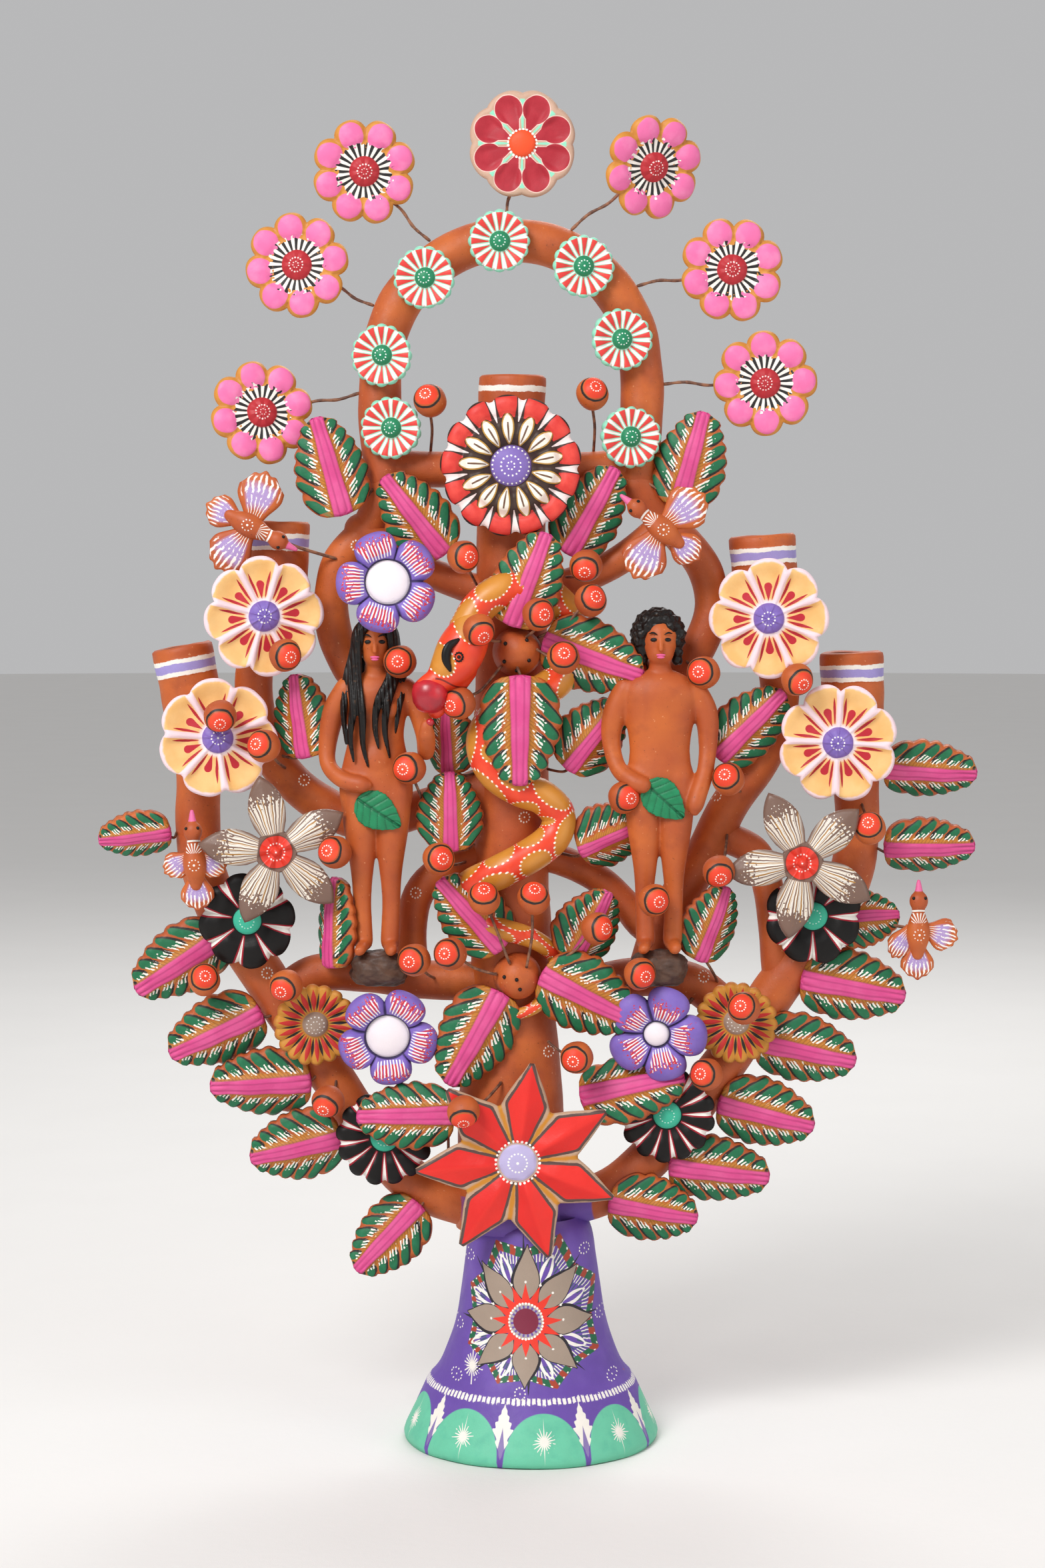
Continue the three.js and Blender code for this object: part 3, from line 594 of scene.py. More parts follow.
# ---- the arms ----
# Rolled bars of clay that spring from the trunk and turn up to carry the candle cups, with thinner
# ones that tie the tiers together and carry the two figures.
OUTER_LEFT = [(-9, 0, 104), (-31, 0, 107), (-54, 0, 117), (-72, 0, 137), (-90, 0, 164), (-108, 0, 191),
              (-124, 0, 216), (-141, 0, 241), (-150, 0, 268), (-150, 0, 300), (-149, 0, 326)]
OUTER_RIGHT = [(-9, 0, 104), (15, 0, 106), (37, 0, 114), (57, 0, 131), (77, 0, 157), (95, 0, 182),
               (112, 0, 207), (133, 0, 232), (146, 0, 264), (147, 0, 298), (146, 0, 322)]
MIDDLE_LEFT = [(-9, 0, 299), (-30, 0, 294), (-71, 0, 282), (-95, 0, 290), (-114, 0, 307), (-124, 0, 330),
               (-124, 0, 352), (-118, 0, 368), (-115, 0, 383)]
MIDDLE_RIGHT = [(53, 0, 212), (60, 0, 235), (76, 0, 262), (90, 0, 290), (105, 0, 313), (112, 0, 337),
                (110, 0, 356), (107, 0, 376)]
SIDE_STRUT = [(85, 0, 276), (101, 0, 268), (108, 0, 250), (110, 0, 230), (112, 0, 212)]
PEDESTAL_LEFT = [(-9, 0, 209), (-30, 0, 209), (-53, 0, 210), (-75, 0, 213), (-96, 0, 213), (-112, 0, 203)]
PEDESTAL_RIGHT = [(-9, 0, 206), (15, 0, 206), (49, 0, 211), (72, 0, 209), (88, 0, 197), (97, 0, 186)]
UPPER_LEFT = [(-64, 0, 434), (-73, 0, 415), (-86, 0, 399), (-90, 0, 382), (-88, 0, 365), (-82, 0, 351),
              (-76, 0, 344)]
UPPER_RIGHT = [(47, 0, 434), (60, 0, 418), (76, 0, 399), (81, 0, 382), (78, 0, 366), (70, 0, 352),
               (62, 0, 346)]
for arm_name, rings, runs in (
        ("outer_arm_left", 80, [(OUTER_LEFT, swelling(10, 1.18, 1.2, 0.12))]),
        ("outer_arm_right", 80, [(OUTER_RIGHT, swelling(10, 1.18, 1.2, 0.12))]),
        ("middle_arm_left", 60, [(MIDDLE_LEFT, swelling(8.6, 1.7, 1.3, 0.16))]),
        ("middle_arm_right", 60, [(MIDDLE_RIGHT, swelling(8.8, 1.1, 1.3, 0.16)), (SIDE_STRUT, 7)]),
        ("pedestal_arm_left", 48, [(PEDESTAL_LEFT, swelling(8.8, 1.7, 1.1, 0.2))]),
        ("pedestal_arm_right", 48, [(PEDESTAL_RIGHT, swelling(8.8, 1.7, 1.1, 0.2))]),
        ("upper_arm_left", 48, [(UPPER_LEFT, swelling(7.8, 1.25, 0.9, 0.2))]),
        ("upper_arm_right", 48, [(UPPER_RIGHT, swelling(7.8, 1.25, 0.9, 0.2))])):
    clay_bar(arm_name, runs, rings)

# ---- the candle cups ----
# Thrown cups on the ends of the arms and on the trunk's head, open at the top for a candle, each with a
# lilac band between two white lines brushed on by eye.
CUPS = {  # radius, height, middle of the foot, lean to the right
    "candle_cup_top": (15, 29.7, (-9, 0, 452.3), 0.02),
    "candle_cup_middle_left": (14.6, 42, (-115, 0, 375), 0.02),
    "candle_cup_middle_right": (14.8, 42, (106.5, 0, 369), -0.07),
    "candle_cup_outer_left": (13.6, 45, (-149, 0, 317), -0.19),
    "candle_cup_outer_right": (14.2, 44, (145.5, 0, 314.5), -0.03),
}
cup_paint = clay_paint("banded_cup")
down = cup_paint.z + (cup_paint.noise(9, 2) - 0.5) * 1.6
banded = 1 - cup_paint.y
cup_paint.lay((abs(down + 9.4) - 4.1 + cup_paint.noise(1.4) * 0.8).inside(0.3) * banded, "f1ece2")
cup_paint.lay((abs(down + 9.4) - 2.1 + cup_paint.noise(1.1) * 0.6).inside(0.3) * banded, "9d90cc")
cup_paint.lay((abs(down + 6.4) - 1.7 + cup_paint.noise(1.4) * 0.8).inside(0.3) * cup_paint.y, "f1ece2")
cup_paint.raised((abs(down + 9.4) - 4.1).inside(0.3) * banded, 0.4)
# everything within 11 mm of each cup's axis, the inside of the cup and its foot, is painted dark brown:
# painted shade in the hollow
cup_paint.lay((cup_paint.x - 11).inside(0.5), "5e3320")
cup_paint = cup_paint.finish(fade=0.1, grain=0.35, brushed=4)
for cup_name, (r, tall, foot, lean) in CUPS.items():
    bm = bmesh.new()
    wall = [(0, -6), (r * 0.55, -6), (r * 0.78, -2.5), (r * 0.95, 2), (r, 7), (r - 0.1, tall * 0.5),
            (r + 0.1, tall - 3), (r - 0.2, tall - 0.8), (r - 1.6, tall), (r - 3.2, tall - 0.7),
            (r - 4, tall - 2.4), (r - 4.1, tall - 10), (r - 4.3, tall - 24), (r - 6.5, tall - 27),
            (0, tall - 27)]
    fine = smooth_path([(a, 0, b) for a, b in wall], 54)
    turned(bm, [(max(p.x, 0), p.z) for p in fine], 44)
    flat = bm.verts.layers.float_vector.new("flat")
    for v in bm.verts:
        v[flat] = (math.hypot(v.co.x, v.co.y), cup_name == "candle_cup_top", v.co.z - tall)
    pinched(bm, 0.6, 12)
    bmesh.ops.rotate(bm, matrix=Matrix.Rotation(lean, 3, "Y"), verts=bm.verts)
    bmesh.ops.translate(bm, vec=foot, verts=bm.verts)
    piece(bm, cup_name, cup_paint, [cup_name])

# ---- flowers ----
# Cut from slabs of clay, scooped petal by petal with a stick, domed in the middle, painted, and set a
# little in front of the bars on iron wires. One shape and one paint for each kind; the hand varies the
# turn and the lean.
iron = Paint("rusty_wire", "644234", rough=0.6, metal=0.15)
iron.lay(iron.noise(3, 3).clear(0.42, 0.62), "96664a")
iron = iron.finish(fade=0.2)


def blossom(name, paint, count, shape, at, turn=0, lean=(0, 0), dome=0.3, fine=12, stands_for=(),
            body="root"):
    """A flower whose shape gives reach and height from 0 to 1 outwards and -1 to 1 across a petal."""
    bm = bmesh.new()
    inner = [dome * share for share in (0, 0.3, 0.55, 0.75, 0.88, 0.96, 1)]
    outer = [dome + 0.02 + (0.98 - dome) * (i / fine) ** 0.9 for i in range(1, fine + 1)]
    front = [(t, 1) for t in inner + [dome + 0.02] + outer]
    turned(bm, front + [(t, -1) for t in (1.0, 0.9, 0.6, 0.3, 0)], count * max(4, 2 * round(60 / count)))
    flat = bm.verts.layers.float_vector.new("flat")
    for v in bm.verts:
        t, angle = min(1, math.hypot(v.co.x, v.co.y)), math.atan2(v.co.y, v.co.x)
        whole = (angle - math.pi / 2) / (2 * math.pi / count)
        phi = 2 * (whole - round(whole))
        reach, height = shape(t, phi)
        if v.co.z < 0:
            height = -2.6 + 2.2 * max(0, t - 0.6)
            reach *= 0.97
        v.co = (reach * math.cos(angle), reach * math.sin(angle), height)
        v[flat] = v.co
    pinched(bm, 0.5, 9)
    stand = Matrix.Rotation(math.radians(90), 4, "X") @ Matrix.Rotation(math.radians(turn), 4, "Z")
    tip = Matrix.Rotation(math.radians(lean[0]), 4, "X") @ Matrix.Rotation(math.radians(lean[1]), 4, "Z")
    bmesh.ops.transform(bm, matrix=Matrix.Translation(at) @ tip @ stand, verts=bm.verts)
    piece(bm, name, paint, stands_for or [name], body=body)


def rise(t, low, high):
    """0 below low, 1 above high, smooth between."""
    share = min(1, max(0, (t - low) / (high - low)))
    return share * share * (3 - 2 * share)


def domed(t, dome, tall):
    return tall * math.sqrt(max(0, 1 - (t / dome) ** 2)) if t < dome else 0


# cream flowers: scooped cream petals between pale pink ribs, red strokes, a violet dome
def cream_shape(t, phi):
    reach = 26.6 * t * (1 - 0.14 * abs(phi) ** 2.4 * rise(t, 0.3, 1))
    rib = rise(abs(phi), 0.62, 0.95)
    scoop = math.sin(math.pi * rise(t, 0.22, 1.12))
    height = 1.6 - 2.4 * scoop * (1 - rib) + 1.5 * rise(t, 0.3, 0.9) - 1.8 * rise(t, 0.93, 1.03)
    return reach, height + domed(t, 0.26, 3.4) + 0.6 * rib


def cream_paint(count):
    paint = Paint(f"cream_petals_{count}", "efbf7c", rough=0.62)
    paint.wobble(0.25, 5)
    reach, along, side = paint.polar(count, math.pi / 2)
    _, out, off = paint.polar(count, math.pi / 2 + math.pi / count)
    paint.lay(paint.noise(10, 3).clear(0.4, 0.65) * 0.7, "e6ad62")
    paint.lay((25.6 - reach - abs(side) ** 2.4 * 0.0068 - paint.noise(3) * 1.4).inside(0.8), "f0d4da")
    paint.lay((abs(off) - 1.15 - (out - 8) * 0.04).inside(0.5), "f0d4da")
    paint.lay(((reach - 8.2) * 0.6).inside(1), "f3dfe4")
    share = ((out - 8) / 12).clear(0, 1)
    stroke = abs(abs(off) - 1.7 - share * 1.1) - 0.62 * (share * math.pi).sine().most(0) ** 0.7
    paint.lay(stroke.most(8 - out).most(out - 20).inside(0.16), "b01226")
    drop = (abs(side) - (along - 7.5) * 0.28).most(along - 14)
    bulb = (along - 14.1).far(side) - 1.75
    paint.lay(drop.least(bulb).inside(0.16), "b8182b")
    paint.lay((reach - 6.9).inside(0.2), "7b62b2")
    paint.lay((reach - 6.9).inside(0.2) * paint.noise(4).clear(0.5, 0.8) * 0.7, "9a86c8")
    paint.lay(paint.dots(reach, 13, 2.9, 0.36).least(reach - 0.45).inside(0.12), "f5f1ee")
    return paint.finish(fade=0.06)


# violet flowers: five fat petals curled round a pale button, red and white hair strokes
def violet_shape(button):
    def shape(t, phi):
        fat = math.sqrt(max(0, 1 - abs(phi) ** 3.2))
        reach = 22.6 * t * (1 - 0.3 * abs(phi) ** 3.4 * rise(t, 0.3, 1))
        ring = math.sin(math.pi * min(1, max(0, (t - button) / (1.04 - button)))) if t > button else 0
        height = 0.4 + 5.0 * ring ** 0.6 * (0.25 + 0.75 * fat) + domed(t, button, 2.8)
        return reach, height - 1.5 * rise(t, 0.94, 1)
    return shape


def violet_paint(button):
    paint = Paint(f"violet_petals_{round(button * 100)}", "8269bd", rough=0.6)
    reach, along, side = paint.polar(5, math.pi / 2)
    _, _, off = paint.polar(5, math.pi / 2 + math.pi / 5)
    paint.lay(paint.noise(8, 3).clear(0.4, 0.7) * 0.6, "6c51ab")
    edge = button * 22.6
    spread = side / (along * 0.14 + 4)
    length = paint.noise(1.0, 0) * 9
    zone = (edge + 2.5 - along).most(along - edge - 4.6 - length).most(abs(side) - along * 0.47)
    hairs = (spread * 2.6 + paint.noise(6) * 0.6).saw()
    paint.lay((abs(hairs) - 0.38).most(zone * 0.4).inside(0.16), "c8283c")
    zone = (edge + 0.9 - along).most(along - edge - 3.2 - length).most(abs(side) - along * 0.5)
    hairs = (spread * 4.1 + paint.noise(5) * 0.7).saw()
    paint.lay((abs(hairs) - 0.2).most(zone * 0.4).inside(0.14), "fbf1f2")
    paint.lay((abs(off) - 0.5).inside(0.5), "35225e")
    paint.lay((reach - edge - 0.75).inside(0.3), "2c1d4e")
    paint.lay((reach - edge + 0.1).inside(0.3), "f1e6ea")
    return paint.finish(fade=0.06)


# brown stars: five pointed petals combed with white and ochre hair strokes, a red dome
def star_shape(t, phi):
    point = max(0, 1 - abs(phi) / 0.9)
    tip = 9.5 + 25 * point ** 0.62
    reach = t * (9 + (tip - 9) * rise(t, 0.15, 0.8)) if t < 0.99 else tip
    ridge = max(0, 1 - abs(phi) / 0.62)
    height = 1.2 + 2.8 * ridge ** 0.8 * rise(t, 0.2, 0.4) * (1 - 0.75 * rise(t, 0.55, 1.05))
    return reach, height + domed(t, 0.24, 3.0) - 1.4 * rise(t, 0.95, 1)


def star_flower_paint():
    paint = Paint("brown_star_petals", "75594c", rough=0.48, coat=0.15)
    reach, along, side = paint.polar(5, math.pi / 2)
    lean = side / (along * 0.34 + 1.5)
    length = paint.noise(1.1, 0) * 17
    zone = (8.2 - along).most(along - 14.5 - length).most(abs(lean) - 0.92)
    for count, cut, code in ((3.3, 0.2, "a9772f"), (4.9, 0.17, "efe8dc"), (7.3, 0.13, "efe8dc")):
        hairs = (lean * count + paint.noise(6) * 0.8).saw()
        paint.lay((abs(hairs) - cut).most(zone * 0.3).inside(0.16), code)
    paint.lay((reach - 7.6).inside(0.3), "57382b")
    paint.lay((reach - 7.2).inside(0.3), "dd3522")
    paint.lay(paint.dots(reach, 17, 3.8, 0.36).least(reach - 0.4).inside(0.12), "f7e6df")
    return paint.finish(fade=0.08)


# black flowers: black petals parted by white wedges edged in crimson, a turquoise middle
def black_shape(t, phi):
    reach = 21.8 * t * (1 - 0.12 * abs(phi) ** 2.4 * rise(t, 0.3, 1))
    swell = math.sqrt(max(0, 1 - abs(phi) ** 2.5))
    height = 0.8 + 2.4 * swell * rise(t, 0.3, 0.6) - 1.8 * rise(t, 0.85, 1.02)
    return reach, height + domed(t, 0.3, 2.6)


def black_paint(count):
    paint = Paint(f"black_petals_{count}", "100d0c", rough=0.5, coat=0.05, shine=0.25)
    reach, _, _ = paint.polar(count, math.pi / 2)
    _, out, off = paint.polar(count, math.pi / 2 + math.pi / count)
    paint.wobble(0.2, 4)
    wide = 7.5 / count
    paint.lay((abs(off) - (out - 7) * 0.16 * wide - 0.45).most(7 - out).most(out - 20.5).inside(0.2),
              "a0182c")
    paint.lay((abs(off) - (out - 7.6) * 0.14 * wide).most(7.2 - out).most(out - 20).inside(0.2), "f0ebe4")
    paint.lay((reach - 6.9).inside(0.2), "0e0c0c")
    paint.lay((reach - 6.3).inside(0.2), "3fb394")
    paint.lay(paint.dots(reach, 14, 3.2, 0.3).inside(0.12), "bfe6d8")
    return paint.finish(fade=0.1)


# ochre daisies: fluted ochre with red and black strokes by turns, a taupe dome
def daisy_shape(t, phi):
    reach = 18.8 * t * (1 - 0.08 * abs(phi) ** 2 * rise(t, 0.4, 1))
    height = 0.6 + 1.5 * (1 - phi * phi) * rise(t, 0.35, 0.6) + 1.2 * rise(t, 0.4, 0.9)
    return reach, height - 1.6 * rise(t, 0.93, 1.02) + domed(t, 0.3, 2.8)


def daisy_paint():
    paint = Paint("ochre_daisy", "c5852b", rough=0.6)
    reach, along, side = paint.polar(18, math.pi / 2)
    _, out, off = paint.polar(18, math.pi / 2 + math.pi / 18)
    paint.wobble(0.15, 4)
    # darker ochre fading in towards the rim, where it turns down: painted shade
    paint.lay((reach - 17.2).clear(0, 1.2) * 0.7, "a85a22")
    share = ((along - 6.0) / 11).clear(0, 1)
    paint.lay((abs(side) - 1.1 * (share * math.pi).sine().most(0)).most(6 - along).inside(0.15), "c02420")
    share = ((out - 6.2) / 9).clear(0, 1)
    paint.lay((abs(off) - 0.6 * (share * math.pi).sine().most(0)).most(6.2 - out).inside(0.15), "1f1715")
    paint.lay((reach - 5.8).inside(0.2), "a48d7d")
    paint.lay(paint.dots(reach, 14, 3.9, 0.3).least(paint.dots(reach, 8, 2.0, 0.26)).inside(0.12), "f5efe8")
    return paint.finish(fade=0.08)


# the poinsettia: seven red pointed petals outlined in brown, ochre between, a lilac button ringed with dots
def poinsettia_shape(t, phi):
    tip = 1 / (abs(phi) / 26.2 + (1 - abs(phi)) / 47.5)
    reach = t * (26.2 + (tip - 26.2) * rise(t, 0.2, 0.9)) if t < 0.99 else tip
    ridge = max(0, 1 - abs(phi) / 0.75)
    height = 1.4 + 2.8 * ridge * rise(t, 0.24, 0.5) * (1 - 0.5 * rise(t, 0.6, 1)) - 1.3 * rise(t, 0.955, 1)
    return reach, height + domed(t, 0.31, 1.8)


def poinsettia_paint():
    paint = Paint("poinsettia", "c88422", rough=0.5)
    paint.wobble(0.25, 7)
    reach, along, side = paint.polar(7, math.pi / 2)
    _, _, off = paint.polar(7, math.pi / 2 + math.pi / 7)
    wide = (3.0 + (along - 10) * 0.325).math("SMOOTH_MIN", (44.6 - along) * 0.44, 1.6)
    petal = abs(side) - wide
    paint.lay((abs(off) - 1.3 + paint.noise(4) * 1.4).clear(0, 0.9) * 0.85, "bda08a")
    paint.lay((petal - 1.75 + paint.noise(3) * 0.8).inside(0.25), "57403a")
    paint.lay(petal.inside(0.2), "dd1c14")
    # a lighter red on one face of each ridged petal: painted light on one side of the fold
    paint.lay(petal.inside(0.2) * (side + 0.6).clear(-0.6, 0.9) * 0.45, "ee3024")
    paint.lay((reach - 9.1).inside(0.2), "bfa393")
    paint.lay((reach - 8.3).inside(0.2), "bcb2da")
    rings = paint.dots(reach, 31, 9.7, 0.55).least(paint.dots(reach, 17, 4.2, 0.42)).least(reach - 0.6)
    paint.lay(rings.inside(0.12), "fbf8f0")
    return paint.finish(fade=0.06)


# the great middle flower: thirteen red petals with pale wedges between, thirteen white loops over them
def great_shape(t, phi):
    reach = 31.2 * t * (1 - 0.09 * abs(phi) ** 2.4 * rise(t, 0.6, 1))
    swell = math.sqrt(max(0, 1 - abs(phi) ** 2.2))
    outer = 2.4 * swell * rise(t, 0.7, 0.78) * (1 - rise(t, 0.9, 1.03))
    inner = (2.6 + 2.2 * swell) * rise(t, 0.3, 0.42) * (1 - rise(t, 0.6, 0.71))
    return reach, 1.0 + outer + inner + domed(t, 0.29, 3.6)


def great_paint():
    paint = Paint("great_flower", "3a241b", rough=0.55)
    paint.wobble(0.2, 5)
    reach, along, side = paint.polar(13, math.pi / 2)
    _, out, off = paint.polar(13, math.pi / 2 + math.pi / 13)
    paint.lay((reach - 24).clear(0, 1) * 0.6, "2a1a14")
    outer = (abs(side) - (along - 9) * 0.265).most(21.2 - along).math("SMOOTH_MAX", reach - 30.4, 1.5)
    paint.lay(outer.inside(0.25), "d6322a")
    paint.lay((outer + 0.6).inside(1.2) * paint.noise(6, 3).clear(0.4, 0.7) * 0.6, "ec5546")
    wedge = (abs(off) - (out - 18.5) * 0.17).most(19.5 - out).most(out - 29.3 - abs(off) * 0.6)
    paint.lay((wedge - 0.5).inside(0.2), "2c1b15")
    paint.lay(wedge.inside(0.2), "f4e0dd")
    share = ((along - 9.2) / 14).clear(0, 1)
    loop = abs(side) - 2.75 * (share ** 1.35 * math.pi).sine().most(0) ** 0.55
    zone = (9.2 - along).most(along - 23)
    paint.lay((loop - 0.45).most(zone).inside(0.2), "2c1b15")
    paint.lay(loop.most(zone).inside(0.2), "b98a35")
    paint.lay((loop + 0.6).most(zone).inside(0.2), "f5eddf")
    vein = abs(side) - 0.42 * (share * math.pi).sine().most(0)
    paint.lay(vein.most(along - 19).most(11 - along).inside(0.2), "6b4a35")
    paint.lay((reach - 9.6).inside(0.2), "4a2f27")
    paint.lay((reach - 9.0).inside(0.2), "8068b4")
    rings = paint.dots(reach, 26, 8.1, 0.42).least(paint.dots(reach, 15, 4.4, 0.4))
    rings = rings.least(paint.dots(reach, 7, 1.7, 0.36))
    paint.lay(rings.inside(0.12), "fbf7f2")
    return paint.finish(fade=0.07)


# pink heads: eight pink pads on ochre, black and white dabs round a crimson dome
def pink_shape(t, phi):
    reach = 23.2 * t * (1 - 0.17 * abs(phi) ** 2.6 * rise(t, 0.35, 1))
    pad = max(0, 1 - ((t - 0.76) / 0.24) ** 2 - (phi * 0.95) ** 2) ** 0.5
    return reach, 0.4 + 2.0 * pad + 0.5 * (1 - abs(phi)) - 0.8 * rise(t, 0.94, 1.02) + domed(t, 0.29, 3.2)


def pink_paint():
    paint = Paint("pink_heads", "d08a33", rough=0.55)
    paint.wobble(0.3, 5)
    reach, along, side = paint.polar(8, math.pi / 2)
    # darker ochre in the low ground between the raised pads: painted shade
    paint.lay((abs(side) - 6).clear(-1, 1.5) * 0.4, "a85f24")
    pad = ((along - 16.6) * (along - 16.6) * 0.95 + side * side * 1.02).math("SQRT")
    pad = pad - 5.15 - paint.noise(6) * 0.9
    paint.lay(pad.inside(0.25), "ea6ea6")
    paint.lay(pad.inside(0.25) * paint.noise(7, 3).clear(0.45, 0.7) * 0.6, "f48fbb")
    length = paint.noise(1.6, 0) * 6 - 1.4
    for shift, code, cut in ((0.0, "f4efe6", 0.25), (0.5, "191514", 0.19)):
        _, out, off = paint.polar(23, math.pi / 2 + shift * 2 * math.pi / 23)
        dab = (abs(off) - out * 0.137 * cut * 2.6).most(6.4 - out).most(out - 10.4 - length)
        paint.lay(dab.inside(0.2), code)
    paint.lay((reach - 6.7).inside(0.2), "b3202a")
    paint.lay(paint.dots(reach, 15, 3.1, 0.34).least(paint.dots(reach, 7, 1.3, 0.26)).inside(0.12),
              "f7dcd8")
    return paint.finish(fade=0.05)


# the topmost head: red drops between mint lines on taupe, an orange middle ringed with dots
def top_shape(t, phi):
    reach = 24 * t * (1 - 0.075 * abs(phi) ** 2.2 * rise(t, 0.4, 1))
    scoop = math.sin(math.pi * rise(t, 0.3, 1.02)) * (1 - rise(abs(phi), 0.5, 0.9))
    return reach, 2.2 - 1.5 * scoop - 1.6 * rise(t, 0.93, 1.02) + domed(t, 0.25, 2.4)


def top_paint():
    paint = Paint("topmost_head", "c6a18a", rough=0.6)
    paint.wobble(0.25, 6)
    reach, along, side = paint.polar(8, math.pi / 2)
    _, out, off = paint.polar(8, math.pi / 2 + math.pi / 8)
    paint.lay((abs(off) - 0.35 - (out - 6) * 0.055).most(6 - out).most(out - 19.5).inside(0.2), "8fdabb")
    cone = (abs(side) - 0.9 - (along - 6) * 0.43).most(along - 16)
    bulb = ((along - 16) * (along - 16) * 0.9 + side * side).math("SQRT") - 6.0
    paint.lay((cone.least(bulb) - 0.35).inside(0.2), "ecc9bd")
    paint.lay(cone.least(bulb).inside(0.2), "a91a2c")
    paint.lay(cone.least(bulb).inside(0.2) * paint.noise(6, 3).clear(0.45, 0.7) * 0.5, "bd2f3d")
    paint.lay((reach - 6.0).inside(0.2), "ef4f1e")
    paint.lay(paint.dots(reach, 25, 6.3, 0.5).inside(0.12), "f9f5ef")
    return paint.finish(fade=0.06)


# rosettes: fluted discs on the arch, red between white strokes with a mint edge, a green knob
def rosette_shape(t, phi):
    reach = 13.8 * t * (1 - 0.07 * abs(phi) ** 2 * rise(t, 0.5, 1))
    height = 1.2 + 0.9 * (1 - phi * phi) * rise(t, 0.4, 0.7) + 1.0 * rise(t, 0.4, 0.9)
    return reach, height - 1.6 * rise(t, 0.92, 1.02) + domed(t, 0.33, 3.2)


def rosette_paint():
    paint = Paint("rosettes", "8fd8bb", rough=0.55)
    paint.wobble(0.12, 3)
    reach, along, side = paint.polar(16, math.pi / 2)
    _, out, off = paint.polar(16, math.pi / 2 + math.pi / 16)
    paint.lay((abs(side) - (along - 3.2) * 0.15).most(along - 12.4).most(4.8 - along).inside(0.15),
              "dd3a34")
    paint.lay((abs(off) - (out - 2) * 0.085).most(out - 12.7).most(4.6 - out).inside(0.15), "f6f2ec")
    paint.lay((reach - 4.6).inside(0.2), "128257")
    paint.lay(paint.dots(reach, 12, 2.5, 0.3).least(reach - 0.4).inside(0.1), "e8f6ee")
    return paint.finish(fade=0.06)


creams = {7: cream_paint(7), 8: cream_paint(8)}
violets = {0.43: violet_paint(0.43), 0.25: violet_paint(0.25)}
blacks = {8: black_paint(8), 13: black_paint(13)}
star_look, daisy_look = star_flower_paint(), daisy_paint()

blossom("centre_flower", great_paint(), 13, great_shape, (-9, -26, 441), 4, dome=0.29, fine=16)
blossom("poinsettia", poinsettia_paint(), 7, poinsettia_shape, (-6, -34.5, 133), -8, (4, 0), 0.31, 16)
for violet_name, button, at, turn, lean in (
        ("purple_flower_upper", 0.43, (-63, -37, 390), 20, (-4, 6)),
        ("purple_flower_left", 0.43, (-64, -26, 188), 185, (8, 2)),
        ("purple_flower_right", 0.25, (56, -25, 189), 196, (10, -6))):
    blossom(violet_name, violets[button], 5, violet_shape(button), at, turn, lean, button)
for cream_name, count, at, turn, lean in (
        ("cream_flower_middle_left", 8, (-118, -28, 375), 6, (0, 10)),
        ("cream_flower_outer_left", 7, (-139, -25, 321), 8, (-4, 8)),
        ("cream_flower_middle_right", 8, (105, -26, 374), 2, (2, -8)),
        ("cream_flower_outer_right", 8, (136, -24.5, 319), 20, (2, -6))):
    blossom(cream_name, creams[count], count, cream_shape, at, turn, lean, 0.26, 14)
blossom("star_flower_left", star_look, 5, star_shape, (-113, -30.5, 271), 12, (0, 4), 0.24, 16)
blossom("star_flower_right", star_look, 5, star_shape, (120, -29.5, 266), 26, (0, -4), 0.24, 16)
for black_name, count, at, turn in (
        ("black_flower_left", 8, (-127, -18.5, 239), 10), ("black_flower_right", 8, (126, -18.5, 241), 22),
        ("black_flower_lower_left", 13, (-66, -19, 141), 0),
        ("black_flower_lower_right", 13, (61, -17, 151), 9)):
    blossom(black_name, blacks[count], count, black_shape, at, turn, (4, 0), 0.3)
blossom("daisy_left", daisy_look, 18, daisy_shape, (-97, -17.5, 192), 3, (6, 8), 0.31)
blossom("daisy_right", daisy_look, 18, daisy_shape, (92, -17.5, 193), 9, (6, -8), 0.31)

rosette_look = rosette_paint()
ROSETTES = {"top": (-14, 540), "left_high": (-47, 524), "left_mid": (-66, 490), "left_low": (-62, 458),
            "right_high": (23, 529), "right_mid": (40, 497), "right_low": (44, 454)}
for i, (where, (x, z)) in enumerate(ROSETTES.items()):
    tilt = (0, (TRUNK_X - x) * -0.18)
    blossom(f"rosette_{where}", rosette_look, 16, rosette_shape, (x, -12.6, z), 11 * i, tilt, 0.34, 9,
            stands_for=["arch_hoop"])

